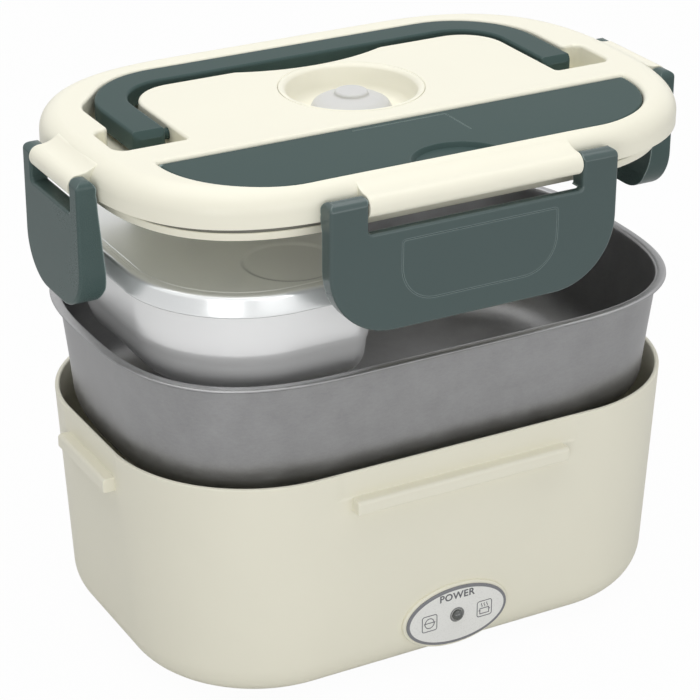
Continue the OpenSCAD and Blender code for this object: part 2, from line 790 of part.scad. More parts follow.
module handle_hole() {
    a = handle_l / 2 - leg_w;
    b = grip_y - grip_w;
    translate([-a, leg_y - cut]) square([2 * a, b - handle_r2 - leg_y + cut]);
    translate([handle_r2 - a, 0]) square([2 * a - 2 * handle_r2, b]);
    for (x = [-1, 1]) translate([x * (a - handle_r2), b - handle_r2]) circle(handle_r2);
}

// Plan of the handle's groove, its outer edges grown by o
module groove_plan(o) {
    a = groove_out + o;
    top = 31;
    difference() {
        union() {
            translate([-a, groove_front - o]) square([2 * a, top - groove_front + o]);
            for (x = [-1, 1]) translate([x * (groove_out - groove_corner), top]) circle(groove_corner + o);
            intersection() {
                handle_plan(0.6 + o);
                translate([-a, 0]) square([2 * a, 2 * a]);
            }
            translate([-notch_x - o, notch_front - o])
                square([2 * notch_x + 2 * o, notch_back - notch_front + 2 * o]);
        }
        difference() {
            union() {
                translate([o - groove_in, groove_front - o - cut])
                    square([2 * groove_in - 2 * o, groove_back - groove_r2 - groove_front + o + cut]);
                translate([groove_r2 - groove_in, 0])
                    square([2 * groove_in - 2 * groove_r2, groove_back - o]);
                for (x = [-1, 1]) translate([x * (groove_in - groove_r2), groove_back - groove_r2])
                    circle(groove_r2 - o);
            }
            scoop_plan(o);
        }
    }
}

// Plan of the finger scoop in front of the grip
module scoop_plan(o) {
    sag = groove_back - scoop_y;
    half = 32;
    r = (half * half + sag * sag) / (2 * sag);
    intersection() {
        translate([0, scoop_y + r]) circle(r + o, $fn = 96);
        translate([-half - o, scoop_y - o]) square([2 * half + 2 * o, sag + 3 + o]);
    }
}

// Plan of the cutlery cover, grown by o
module cutlery_plan(o) {
    a = cutlery_l / 2;
    front = cutlery_y - cutlery_w;
    intersection() {
        translate([-a - o, front - o]) square([2 * a + 2 * o, cutlery_w + 2 * o]);
        union() {
            translate([cutlery_r - a, front - o]) square([2 * a - 2 * cutlery_r, cutlery_w + 2 * o]);
            translate([-a - o, front + cutlery_r]) square([2 * a + 2 * o, cutlery_w]);
            for (x = [-1, 1]) translate([x * (a - cutlery_r), front + cutlery_r])
                circle(cutlery_r + o);
        }
    }
}

module latch_bar(l) {
    round_bar(bar_r, l);
    translate([-l / 2, -hinge_out - 1.6, -bar_r + edge]) cube([l, hinge_out + 1.6, 2 * bar_r - 2 * edge]);
}

module bar_holes(l) {
    for (x = [-1, 1]) translate([x * l / 2, 0, 0]) round_bar(trunnion_r + run_gap, 13);
}

// Places its child at the hinge of one of the four latches, outwards along Y
module at_latch(turn, out) {
    rotate([0, 0, turn]) translate([0, out, hinge_z]) children();
}

module lid_blocks() {
    top = lid_top - 1.5;
    groove_low = lid_top - groove_d - 1.5;
    tub_low = tub_z - 1.2;
    translate([0, 0, groove_low]) linear_extrude(top - groove_low) groove_plan(groove_wall);
    translate([0, 0, tub_low]) linear_extrude(ledge_z - 1.6 - tub_low) cutlery_plan(bay_wall - bay_in);
    translate([0, 0, ledge_z - 1.8]) linear_extrude(top - ledge_z + 1.8) cutlery_plan(2);
    translate([0, valve_y, bowl_z - 2.4]) cylinder(h = bowl_d + 0.9, r = sleeve_r);
    mirrored() translate([groove_in - 6.5, leg_hinge_y - 5, groove_low])
        cube([6, 10, top - groove_low]);
    mirrored() translate([cutlery_l / 2, knuckle_y - 3, ledge_z - 1.8])
        cube([5, 5.6, top - ledge_z + 1.8]);
    for (x = [-1, 1]) for (y = lid_post_y) translate([x * lid_post_x, y, lid_z - plug_d + plug_wall])
        cylinder(h = lid_h + plug_d - plug_wall - 1.5, r = post_r);
}

module lid_shell() {
    color("#fbf8e4") difference() {
        union() {
            lid_body();
            lid_blocks();
            for (s = [0, 180]) {
                at_latch(s, hinge_y) latch_bar(bar_l);
                at_latch(s + 90, hinge_x) latch_bar(bar_end_l);
            }
        }
        translate([0, 0, lid_top - groove_d]) linear_extrude(groove_d + cut) groove_plan(0);
        translate([0, 0, ledge_z]) linear_extrude(lid_top - ledge_z + cut) cutlery_plan(0.4);
        translate([0, 0, tub_z]) linear_extrude(lid_top - tub_z) cutlery_plan(-bay_in);
        translate([0, valve_y, lid_top - cup_flange]) cylinder(h = cup_flange + cut, r = cup_r + run_gap);
        translate([0, valve_y, lid_top - 20]) cylinder(h = 20, r = cup_body_r + run_gap);
        for (s = [0, 180]) {
            at_latch(s, hinge_y) bar_holes(bar_l);
            at_latch(s + 90, hinge_x) bar_holes(bar_end_l);
        }
        mirrored() translate([groove_in, leg_hinge_y, leg_hinge_z]) round_bar(hinge_pin_r + run_gap, 9);
        mirrored() translate([cutlery_l / 2, knuckle_y, cutlery_z + knuckle_r])
            round_bar(cover_pin_r + run_gap, 2 * pin_len + 1.2);
        for (x = [-1, 1]) for (y = lid_post_y) translate([x * lid_post_x, y, lid_z - plug_d])
            cylinder(h = 11, r = screw_r + run_gap);
    }
}

module lid_inner() {
    low = lid_z - plug_d;
    under = lid_z + 2;
    color("#f4f1de") difference() {
        loft([lid_level(plug_in + 1, low), lid_level(plug_in, low + 1),
            lid_level(plug_in - 0.1, under), lid_level(lid_wall + 0.1, under),
            lid_level(lid_wall + 0.1, under + 1.4), lid_level(plug_in + plug_wall, under + 1.4),
            lid_level(plug_in + plug_wall, low + plug_wall + 0.6),
            lid_level(plug_in + plug_wall + 0.6, low + plug_wall)], lid_e);
        for (x = [-1, 1]) for (y = lid_post_y) translate([x * lid_post_x, y, low - cut])
            cylinder(h = plug_wall + 2 * cut, r = screw_r + run_gap);
        translate([0, valve_y, low - cut]) cylinder(h = plug_wall + 2 * cut, r = 4);
    }
}

module lid_gasket() {
    low = lid_z - gasket_out;
    top = lid_z + 2;
    color("#dcdcd6") loft([lid_level(plug_in - 0.2, low + 0.3), lid_level(plug_in - 0.8, low),
        lid_level(lid_wall + 0.7, low), lid_level(lid_wall + 0.1, low + 0.3),
        lid_level(lid_wall + 0.1, top), lid_level(plug_in - 0.2, top)], lid_e, true);
}

module lid_screws() {
    color("#b9bdc1") for (x = [-1, 1]) for (y = lid_post_y) translate([x * lid_post_x, y, lid_z - plug_d])
        screw(plug_wall + 7, 1);
}

module valve_cup() {
    color("#fbf8e4") translate([0, valve_y, lid_top]) rotate_extrude($fn = 96) polygon([
        [bowl_r + 0.5, 0], [cup_r, 0], [cup_r, -cup_flange], [cup_body_r, -cup_flange],
        [cup_body_r, -5], [bowl_floor_r + cup_t, -bowl_d - cup_t], [stem_r + run_gap, -bowl_d - cup_t],
        [stem_r + run_gap, -bowl_d], [bowl_floor_r - 1, -bowl_d], [bowl_floor_r + 1.6, 0.8 - bowl_d],
        [bowl_r - 2.2, -5], [bowl_r - 0.3, -1.6]]);
}

module steam_valve() {
    low = cup_t + valve_travel + seat_gap;
    color("#d9dadb") translate([0, valve_y, bowl_z + seat_gap]) rotate_extrude($fn = 72) polygon([
        [0, -low - 2.4], [stem_r - 1, -low - 2.4], [stem_r + 1.3, -low - 0.6],
        [stem_r + 1.3, -low], [stem_r, -low], [stem_r, 0], [dome_r - 0.4, 0], [dome_r, 0.5],
        [dome_r, 2.6], [dome_r - 0.9, 4.1], [dome_r - 3.6, 5.6], [knob_r + 2, 6.5],
        [knob_r, 6.9], [knob_r, 8.1], [knob_r - 0.7, 8.7], [0, 8.7]]);
}

module handle() {
    end = leg_y + leg_bevel;
    color("#55645f") {
        intersection() {
            translate([0, 0, handle_z]) linear_extrude(handle_t) difference() {
                handle_plan(0);
                handle_hole();
            }
            rotate([90, 0, 90]) linear_extrude(2 * handle_l, center = true) polygon([
                [leg_y, handle_z + leg_bevel], [end, handle_z], [grip_y + cut, handle_z],
                [grip_y + cut, lid_top], [end, lid_top], [leg_y, lid_top - leg_bevel]]);
        }
        mirrored() translate([handle_l / 2 - leg_w - 2, leg_hinge_y, leg_hinge_z])
            round_bar(hinge_pin_r, 8);
    }
}

// A latch hanging from its hinge at the origin, its face towards +Y
module latch(l, bar, corner, back, rib_len, rib_face) {
    half = latch_h / 2;
    face = latch_r - 0.15;
    low = face - latch_round;
    arm = (l - bar) / 2 - fit;
    difference() {
        union() {
            difference() {
                translate([0, 0, -half]) rotate([-90, 0, 0]) rotate([0, 0, 90]) loft([
                    level(half, l / 2, latch_top, corner, 0, 0, back),
                    level(half, l / 2, latch_top, corner, 0, 0, low),
                    level(half, l / 2, latch_top, corner, 0, latch_round * 0.13, low + latch_round * 0.5),
                    level(half, l / 2, latch_top, corner, 0, latch_round * 0.5, low + latch_round * 0.87),
                    level(half, l / 2, latch_top, corner, 0, latch_round, face)], soft_e);
                translate([-bar / 2 - fit, back - cut, -slot_d])
                    cube([bar + 2 * fit, face - back + 2 * cut, slot_d + cut]);
            }
            mirrored() {
                translate([(l - arm) / 2, 0, 0]) round_bar(latch_r, arm - 0.4);
                translate([bar / 2 - 1, 0, 0]) round_bar(trunnion_r, 10);
            }
        }
        translate([-rib_len / 2 - pocket_gap, back - cut, -hook_drop])
            cube([rib_len + 2 * pocket_gap, rib_face - back + cut, hook_drop - slot_d + cut]);
    }
}

module latch_long() {
    color("#55645f") latch(latch_l, bar_l, latch_corner, latch_back_y - hinge_y, rib_l,
        rim_b + rib_out + fit - hinge_y);
}

module latch_short() {
    color("#55645f") latch(latch_end_l, bar_end_l, latch_end_corner, latch_back_x - hinge_x,
        rib_end_l, rim_a + rib_end_out + fit - hinge_x);
}

module latch_front() {
    at_latch(180, hinge_y) latch_long();
}

module latch_back() {
    at_latch(0, hinge_y) latch_long();
}

module latch_left() {
    at_latch(90, hinge_x) latch_short();
}

module latch_right() {
    at_latch(270, hinge_x) latch_short();
}

module cutlery_tub() {
    color("#dedbc9") translate([0, 0, tub_z]) difference() {
        union() {
            linear_extrude(tub_top - tub_z - 0.2) cutlery_plan(-bay_in - 0.2);
            translate([0, 0, ledge_z - tub_z]) linear_extrude(tub_flange) cutlery_plan(0.2);
        }
        translate([0, 0, tub_wall]) linear_extrude(tub_top) cutlery_plan(-bay_in - 0.2 - tub_wall);
    }
}

module cutlery_cover() {
    notch_half = 17.5;
    notch_deep = 11.5;
    r = (notch_half * notch_half + notch_deep * notch_deep) / (2 * notch_deep);
    front = cutlery_y - cutlery_w;
    color("#4d5c58") {
        translate([0, 0, cutlery_z]) linear_extrude(cutlery_t) difference() {
            intersection() {
                cutlery_plan(0);
                translate([-cutlery_l, knuckle_y - 2 * cutlery_w]) square(2 * [cutlery_l, cutlery_w]);
            }
            translate([0, front + notch_deep - r]) circle(r);
        }
        translate([0, knuckle_y, cutlery_z + knuckle_r]) {
            round_bar(knuckle_r, cutlery_l);
            round_bar(cover_pin_r, cutlery_l + 2 * pin_len);
        }
    }
}

// Plan of a utensil's handle, from its narrow neck to its round end
module grip_plan(l, w) {
    polygon([[0, -2.2], [l * 0.35, -2.4], [l - w / 2, -w / 2], [l - w / 2, w / 2],
        [l * 0.35, 2.4], [0, 2.2]]);
    translate([l - w / 2, 0]) circle(w / 2);
}

module spoon() {
    bowl = 21;
    front = cutlery_y - spoon_in;
    color("#c4c6c8") translate([-cutlery_len / 2 + bowl, front, utensil_z]) {
        loft([level(8, 3, 2.9, 2.9, 0, 0, 0), level(bowl - 5, 6, 5.8, 5.8, 0, 0, 1.2),
            level(bowl, 8.5, 8.2, 8.2, 0, 0, 3.4), level(bowl - 1.2, 7.4, 7.1, 7.1, 0, 0, 3.8),
            level(bowl - 6, 5, 4.8, 4.8, 0, 0, 2), level(8, 2.6, 2.5, 2.5, 0, 0, 1)], soft_e);
        translate([bowl - 3, 0, 2]) linear_extrude(1.6) grip_plan(cutlery_len - 2 * bowl + 3, 8);
        translate([cutlery_len - 2 * bowl - 8, -2, 0]) cube([4, 4, 3]);
    }
}

module fork() {
    head = 20;
    back = cutlery_y - fork_in;
    color("#c4c6c8") translate([cutlery_len / 2 - 2 * head, back, utensil_z]) rotate([0, 0, 180]) {
        linear_extrude(1.8) difference() {
            union() {
                translate([2 - 2 * head, -8]) square([22, 16]);
                translate([-16, 0]) circle(8);
                translate([-10, 0]) grip_plan(cutlery_len - 2 * head + 10, 8);
            }
            for (y = [-4, 0, 4]) translate([-2 * head, y - 1.1]) square([22, 2.2]);
        }
    }
}

base_shell();
heater_deck();
badge();
lamp();
lamp_board();
board_screws();
lamp_leads();
heating_plate();
heater_element();
element_strap();
strap_screws();
thermostat();
thermal_fuse();
heat_shield();
plate_screws();
power_inlet();
inlet_pins();
heater_leads();
bottom_cover();
cover_screws();
feet();
tray();
insert_box();
insert_cover();
lid_shell();
lid_inner();
lid_gasket();
lid_screws();
valve_cup();
steam_valve();
handle();
latch_front();
latch_back();
latch_left();
latch_right();
cutlery_tub();
cutlery_cover();
spoon();
fork();
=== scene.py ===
import math

import bmesh
import bpy
import numpy as np
from mathutils import Matrix, Vector


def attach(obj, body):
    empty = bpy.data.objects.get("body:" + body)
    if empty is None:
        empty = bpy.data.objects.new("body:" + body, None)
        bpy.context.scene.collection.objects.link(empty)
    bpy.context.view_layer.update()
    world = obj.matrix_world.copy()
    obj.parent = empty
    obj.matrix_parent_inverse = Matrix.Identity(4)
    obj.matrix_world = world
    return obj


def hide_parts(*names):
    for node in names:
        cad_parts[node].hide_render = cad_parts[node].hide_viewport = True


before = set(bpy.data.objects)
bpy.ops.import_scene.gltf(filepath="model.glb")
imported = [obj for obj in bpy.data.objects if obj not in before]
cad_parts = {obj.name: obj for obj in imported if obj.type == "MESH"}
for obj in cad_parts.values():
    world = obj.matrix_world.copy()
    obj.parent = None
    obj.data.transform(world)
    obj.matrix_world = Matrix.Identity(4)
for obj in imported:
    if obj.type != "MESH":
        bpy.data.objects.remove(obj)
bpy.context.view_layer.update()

MM = 0.001
WHITE = (1, 1, 1, 1)
FRONT, BACK, LEFT, RIGHT = (0, -1), (0, 1), (-1, 0), (1, 0)

# Base: half length, half width, corners, top; foot, fillet, walls; lean at the ends and sides, foot ring
BASE_A, BASE_B, BASE_R, BASE_TOP = 117.2, 78.0, 57.0, 96.0
BASE_FOOT, BASE_FILLET, BASE_WALL, RIM_WALL = 2.4, 15.0, 2.4, 1.8
LEAN_X, LEAN_Y, FOOT_RING = 5.8, 2.6, 4.0
# Pressed panels: half lengths, reach below the rim, depth, soft sides and lower edge
PANEL_A, PANEL_END_B, PANEL_LOW, PANEL_DEEP, PANEL_FADE, PANEL_LOW_FADE = 51.0, 22.6, 10.6, 0.4, 0.7, 0.4
# Latch ribs: top, height, reaches, half lengths; how deep a joined piece is sunk
RIB_TOP, RIB_TALL, RIB_OUT, RIB_END_OUT, RIB_HALF, RIB_END_HALF = 85.4, 5.9, 4.5, 4.0, 46.0, 21.5
SUNK = 3.0
# Badge: height, half sizes, thickness, its pad's edge, printed border; the pads' face, the inlet
BADGE_Z, BADGE_A, BADGE_B, BADGE_THICK, BADGE_EDGE, BORDER = 22.4, 22.3, 12.3, 0.6, 1.2, 1.25
PAD_Y, INLET_Z = 77.556, 25.0
ON_PAD, ON_BADGE, AT_INLET = (0, -PAD_Y, BADGE_Z), (0, -PAD_Y - BADGE_THICK, BADGE_Z), (0, PAD_Y, INLET_Z)
# Lamp: radius, depth, upright side, dome
LAMP_R, LAMP_DEEP, LAMP_RISE, LAMP_DOME = 2.3, 11.4, 0.9, 1.95
# Print: the pictograms' middles, thickness, widths of line and wisp; the word's size and height
ICON_X, ICON_Y, INK, LINE, WISP = 12.3, -0.6, 0.05, 0.34, 0.3
WORD_WIDE, WORD_TALL, WORD_UP = 15.6, 3.1, 8.6
# Tray: half length, half width, corner power, lowest height, foot's inset, fillet, sheet
TRAY_A, TRAY_B, TRAY_E, TRAY_Z, TRAY_FOOT, TRAY_FILLET, STEEL = 118.4, 78.4, 2.84, 80.0, 6.9, 18.0, 0.5
# Food box: middle, half sizes, left and right corners; lowest height, cover's top, wall, fold, fillet,
# foot's inset, cover's skirt; the cover's dishes
BOX_X, BOX_A, BOX_B, BOX_R, BOX_R2 = -66.5, 41.5, 66.0, 46.0, 12.0
BOX_Z, BOX_TOP, BOX_WALL, BOX_FOLD, BOX_FILLET, BOX_FOOT, BOX_SKIRT = 124.0, 167.3, 1.6, 15.8, 11.5, 4.0, 8.0
DISH_X, DISH_Y, DISH_R, DISH_DEEP = 14.5, 41.0, 18.0, 0.6
# Lid: half length, half width, corner power, edge, top; fillet, wall, ceiling, a height below it
LID_A, LID_B, LID_E, LID_Z, LID_TOP = 120.0, 78.0, 2.68, 197.05, 210.75
LID_FILLET, LID_WALL, LID_CEILING, BELOW_LID = 8.7, 2.4, 199.6, 190
# Inner pan: inset, depth, wall; the lid's screws
PLUG_IN, PLUG_DEEP, PLUG_WALL, POST_X, POST_Y = 6.3, 7.0, 1.8, 58, (-5, 30)
# Groove: depth, lip; cutlery bay: lip, half length, front, back, ledge, opening
GROOVE_DEEP, LIP, BAY_LIP = 10.5, 1.3, 2.0
BAY_A, BAY_FRONT, BAY_BACK, LEDGE_Z, BAY_IN = 98.9, -71.4, -29.6, 205.6, 4.2
# Valve: place, bowl, cup, hole, flange; dome, button, stem
VALVE_Y, BOWL_R, BOWL_FLOOR_R, BOWL_DEEP = 7.6, 25.8, 19.5, 10.5
CUP_R, CUP_HOLE_R, CUP_FLANGE = 28.0, 26.9, 1.8
DOME_R, KNOB_R, STEM_R = 15.8, 6.5, 4.9
# Handle: height, faces of its legs and back, bends, the legs' ends, pivot
HANDLE_TALL, LEG_OUT, LEG_IN, BACK_OUT, BACK_IN = 8.0, 94.5, 81.5, 62.5, 49.0
BEND_OUT, BEND_IN, LEG_ROUND, LEG_END, PIVOT_Y, PIVOT_Z = 35, 20, 2.6, -1.5, 4.0, 206.75
# Cutlery cover: top, thickness, gap, hinge line; finger dip, scribed line
COVER_TOP, COVER_THICK, COVER_GAP, KNUCKLE_Y, KNUCKLE_Z = 209.75, 2.6, 0.4, -31.3, 208.45
DIP_X, DIP_HALF, DIP_DEEP, SCRIBE = -1.5, 17.5, 11.5, 0.16
# Latches: hinge lines, bars; face, half lengths, drop, head; slot between the arms, hook
HINGE_Z, HINGE_Y, HINGE_X, BAR_HALF, BAR_END_HALF, BAR_R = 202.0, 82.1, 124.1, 44.0, 17.5, 4.2
LATCH_FACE, LATCH_HALF, LATCH_END_HALF, LATCH_DROP, LATCH_HEAD = 3.75, 59.5, 25.0, 48.2, 3.9
SLOT_DEEP, HOOK_DROP = 9.6, 23.75
# Depth of the painted edge highlight; the floor's white and half size; light
EDGE_HIGHLIGHT_DEPTH, FLOOR_GLOW, FLOOR_HALF = 0.75, 0.97, 6000
SURROUND, TOP_LAMP, FRONT_LAMP, LOW_LAMP = 0.34, 18.8, 6.2, 3.8
# Camera: place in metres; azimuth, elevation and roll in degrees; lens, shift
CAMERA_AT, CAMERA_TURN = (-0.43871, -0.78611, 0.52967), (-28.66, 25.38, 0.08)
CAMERA_LENS, CAMERA_SHIFT = 129.2, (0.0147, 0.0001)


# ---------- outlines and surfaces ----------

def quarter(a, b, r, e, steps):
    """Quarter of an outline, from (a, 0) to (0, b): a straight side, a corner of radius r that is r times
    (cos t, sin t), each raised to 2 / e, and a straight side; the points are evenly spaced along it."""
    t = np.linspace(0, math.pi / 2, 500)
    cos, sin = np.clip([np.cos(t), np.sin(t)], 0, 1) ** (2 / e)
    dense = np.concatenate([[[a, 0]], np.stack([a - r + r * cos, b - r + r * sin], 1), [[0, b]]])
    length = np.concatenate([[0], np.cumsum(np.linalg.norm(np.diff(dense, axis=0), axis=1))])
    even = np.linspace(0, length[-1], steps + 1)
    return np.stack([np.interp(even, length, dense[:, 0]), np.interp(even, length, dense[:, 1])], 1)


def plan(a, b, steps, e=2.0, left=None, right=None):
    """Closed outline, anticlockwise from (a, 0): two quarters with corner radius right and two with left, or
    with b. They meet on the middle line, or beyond it where the left corners are broader than a."""
    left, right = left or b, right or b
    beyond = max(0.0, left - a)
    q, w = quarter(a - beyond, b, right, e, steps), quarter(a + beyond, b, left, e, steps)
    outline = np.concatenate([q[:-1], w[:0:-1] * [-1, 1], w[:-1] * [-1, -1], q[:0:-1] * [1, -1]])
    return outline + [beyond, 0]


def at_height(outline, z):
    """The outline's points at height z."""
    return np.column_stack([outline, np.full(len(outline), z)])


def rounded(corners, steps=12):
    """Closed anticlockwise outline through corners (x, y, r): each corner is an arc of radius r that touches
    both of its sides. Gives the points and their outward normals."""
    p = np.array([corner[:2] for corner in corners], float)
    points, normals = [], []
    for i, (_, _, r) in enumerate(corners):
        d1 = p[i] - p[i - 1]
        d2 = p[(i + 1) % len(p)] - p[i]
        d1, d2 = d1 / np.linalg.norm(d1), d2 / np.linalg.norm(d2)
        turn = math.atan2(d1[0] * d2[1] - d1[1] * d2[0], d1 @ d2)
        side = math.copysign(1, turn)
        n1 = np.array([d1[1], -d1[0]])
        centre = p[i] - d1 * r * math.tan(abs(turn) / 2) - side * n1 * r
        phi = math.atan2(n1[1], n1[0]) + np.linspace(0, turn, steps + 1)
        n = np.stack([np.cos(phi), np.sin(phi)], 1)
        points.append(centre + side * r * n)
        normals.append(n)
    return np.concatenate(points), np.concatenate(normals)


def mirrored(corners):
    """The corners of a right half, then the same corners reflected across x = 0, in reverse order."""
    return corners + [(-x, y, r) for x, y, r in reversed(corners)]


def four_corners(a, b, r):
    """Corners of a rounded rectangle with half sizes a and b."""
    return [(-a, -b, r), (a, -b, r), (a, b, r), (-a, b, r)]


def arc(a, b, start, end, steps):
    """Points of an ellipse of half sizes a and b, from one angle in degrees to another."""
    t = np.radians(np.linspace(start, end, steps))
    return np.stack([a * np.cos(t), b * np.sin(t)], 1)


def oval(a, b, steps=96):
    """An ellipse as points and outward normals."""
    t = np.linspace(0, 2 * math.pi, steps, endpoint=False)
    n = np.stack([np.cos(t) / a, np.sin(t) / b], 1)
    return np.stack([a * np.cos(t), b * np.sin(t)], 1), n / np.linalg.norm(n, axis=1, keepdims=True)


def with_normals(outline):
    """A closed anticlockwise outline and its outward normals, each square to the line between the points
    before and after it."""
    across = np.roll(outline, -1, 0) - np.roll(outline, 1, 0)
    square = np.stack([across[:, 1], -across[:, 0]], 1)
    return outline, square / np.linalg.norm(across, axis=1, keepdims=True)


def curve(start, pull, end, u):
    """Points of a curve that leaves start and meets end aimed at pull: (1 - u) squared times start, plus
    2 u (1 - u) times pull, plus u squared times end."""
    return (1 - u) ** 2 * start + 2 * u * (1 - u) * pull + u ** 2 * end


def fillet(points, radius, steps=5):
    """Rounds the inner corners of an open profile with curves that meet its sides at `radius`."""
    p = np.asarray(points, float)
    done = [p[:1]]
    u = np.linspace(0, 1, steps + 1)[:, None]
    for before, here, after in zip(p[:-2], p[1:-1], p[2:]):
        d1, d2 = before - here, after - here
        long1, long2 = np.linalg.norm(d1), np.linalg.norm(d2)
        r = min(radius, long1 * 0.48, long2 * 0.48)
        done.append(curve(here + d1 / long1 * r, here, here + d2 / long2 * r, u))
    return np.concatenate(done + [p[-1:]])


def edge_arc(radius, height, face, steps=6):
    """Profile points (grow, height) of a rounded edge: a quarter circle that turns between the side and the
    face, which is "top" or "bottom"."""
    t = np.linspace(0, math.pi / 2, steps + 1)
    up = 1 if face == "top" else -1
    points = np.stack([-radius * (1 - np.cos(t)), height - up * radius * (1 - np.sin(t))], 1)
    return points if up > 0 else points[::-1]


def both_edges(low_radius, low, high_radius, high, steps=6):
    """Profile of a side between a rounded lower edge and a rounded upper edge."""
    lower = edge_arc(low_radius, low, "bottom", steps)
    return np.concatenate([lower, edge_arc(high_radius, high, "top", steps)])


def bottom_bend(inset, z, radius, steps):
    """A rounded bottom edge: a quarter circle from the bottom, at z, out to the side, at `inset`."""
    t = np.linspace(0, math.pi / 2, steps)
    return [(inset + radius * (1 - math.sin(a)), z + radius * (1 - math.cos(a))) for a in t]


def step_between(value, low, high):
    """0 below low, 1 above high, with a smooth rise between."""
    t = np.clip((value - low) / (high - low), 0, 1)
    return t * t * (3 - 2 * t)


def rows_of(shape, profile):
    """Grid of a slab: for each (grow, height) of the profile, the outline grown along its normals."""
    points, normals = shape
    profile = np.asarray(profile, float)
    flat = points[None] + profile[:, 0, None, None] * normals[None]
    heights = np.broadcast_to(profile[:, 1, None, None], flat.shape[:2] + (1,))
    return np.concatenate([flat, heights], 2)


def facing(side):
    """Axes of a piece on one side of the lunch box: across it, up it and out of it."""
    return [(-side[1], side[0], 0), (0, 0, 1), (side[0], side[1], 0)]


def along(side):
    """Axes of a section carried along one side: out of it, up it and along it."""
    return [(side[0], side[1], 0), (0, 0, 1), (side[1], -side[0], 0)]


def out_from(side, reach, z):
    """The point at height z that lies `reach` out from the middle, towards one side."""
    return (side[0] * reach, side[1] * reach, z)


class Surface:
    """Closed surfaces gathered into one mesh."""

    def __init__(self):
        """Starts with no points and no faces."""
        self.points, self.faces, self.count = [], [], 0

    def grid(self, rows, caps=True, ring=False):
        """Joins neighbouring rows of a grid with four-sided faces. Rows close on themselves. `ring` joins
        the last row to the first, and `caps` closes both ends."""
        rows = np.asarray(rows, float)
        k, m = rows.shape[:2]
        i, j = np.meshgrid(np.arange(k if ring else k - 1), np.arange(m), indexing="ij")
        here, above = self.count + i * m, self.count + (i + 1) % k * m
        beside = (j + 1) % m
        quads = np.stack([here + j, here + beside, above + beside, above + j], -1)
        self.faces.append(quads.reshape(-1, 4))
        if caps and not ring:
            first = self.count + np.arange(m)[None]
            self.faces += [first[:, ::-1], first + (k - 1) * m]
        self.points.append(rows.reshape(-1, 3))
        self.count += k * m
        return self

    def placed(self, axes, shift=(0, 0, 0)):
        """The surface with its own x, y and z laid along three given axes, and then shifted."""
        self.points = [p @ np.array(axes, float) + np.array(shift, float) for p in self.points]
        return self

    def moved(self, *shift):
        """The surface shifted, with its axes as they are."""
        return self.placed(np.eye(3), shift)

    def add(self, *others):
        """Takes in the faces of other surfaces."""
        for other in others:
            self.faces += [block + self.count for block in other.faces]
            self.points += other.points
            self.count += other.count
        return self

    def mesh(self, name):
        """The Blender mesh, in metres, with doubles merged and normals pointing outwards."""
        made = bpy.data.meshes.new(name)
        faces = [face for block in self.faces for face in block.tolist()]
        made.from_pydata((np.concatenate(self.points) * MM).tolist(), [], faces)
        tidy(made)
        return made


def slab(shape, profile, ring=False):
    """The surface of a flat shape, its points and normals, carried along a profile."""
    return Surface().grid(rows_of(shape, profile), ring=ring)


def lathe(profile, steps=96, ring=False):
    """The surface of a turned piece: profile points (radius, height) carried round the vertical axis. The
    profile starts and ends on the axis or closes in a ring."""
    circle = oval(1, 1, steps)[0]
    return Surface().grid(rows_of((0 * circle, circle), profile), caps=False, ring=ring)


def shell(level, profile, ring=False):
    """The surface of the outlines that `level` gives at each inset and height of a profile."""
    return Surface().grid([level(*p) for p in profile], ring=ring)


def tidy(mesh):
    """Merges doubles, drops faces with no area and turns the normals outwards."""
    bm = bmesh.new()
    bm.from_mesh(mesh)
    bmesh.ops.remove_doubles(bm, verts=bm.verts, dist=2e-6)
    bmesh.ops.dissolve_degenerate(bm, edges=bm.edges, dist=1e-6)
    bmesh.ops.delete(bm, geom=[edge for edge in bm.edges if not edge.link_faces], context="EDGES")
    bmesh.ops.recalc_face_normals(bm, faces=bm.faces)
    bm.to_mesh(mesh)
    bm.free()


def put(name, data):
    """A new object in the scene that shows the given data."""
    obj = bpy.data.objects.new(name, data)
    bpy.context.scene.collection.objects.link(obj)
    return obj


def settled(obj):
    """A mesh of the object with its modifiers applied."""
    bpy.context.view_layer.update()
    return bpy.data.meshes.new_from_object(obj.evaluated_get(bpy.context.evaluated_depsgraph_get()))


def carve(obj, cutters, operation="DIFFERENCE"):
    """Cuts surfaces out of a piece, or keeps only what lies inside them, as its new mesh."""
    for cutter in cutters:
        tool = put("tool", cutter.mesh("tool"))
        step = obj.modifiers.new("carve", "BOOLEAN")
        step.operation, step.solver, step.object = operation, "EXACT", tool
        result = settled(obj)
        obj.modifiers.clear()
        obj.data = result
        bpy.data.objects.remove(tool)
    tidy(obj.data)


def join(obj, surface):
    """Adds a closed surface to a piece's mesh."""
    bm = bmesh.new()
    bm.from_mesh(obj.data)
    bm.from_mesh(surface.mesh("joined"))
    bm.to_mesh(obj.data)
    bm.free()


def piece(name, surface, material, body, nodes, cutters=(), angle=32, joined=None):
    """Makes a piece of a surface, cuts it, and joins to it what the cuts leave alone."""
    obj = put(name, surface.mesh(name))
    if cutters:
        carve(obj, cutters)
    if joined:
        join(obj, joined)
    finish_piece(obj, material, body, nodes, angle)


def finish_piece(obj, material, body, nodes, angle):
    """Shades a piece smooth between its sharp edges, gives it its finish and fixes it to its body."""
    obj.data.name = obj.name
    obj.data.materials.clear()
    obj.data.materials.append(material)
    obj.data.shade_smooth()
    obj.data.set_sharp_from_angle(angle=math.radians(angle))
    even = obj.modifiers.new("even_shading", "WEIGHTED_NORMAL")
    even.keep_sharp = True
    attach(obj, body)
    if nodes:
        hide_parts(*nodes)


# ---------- finishes ----------

def tone(red, green, blue):
    """A display colour, 0 to 255, as the linear colour that shaders take."""
    c = np.array([red, green, blue]) / 255
    linear = np.where(c <= 0.04045, c / 12.92, ((c + 0.055) / 1.055) ** 2.4)
    return (*linear.tolist(), 1.0)


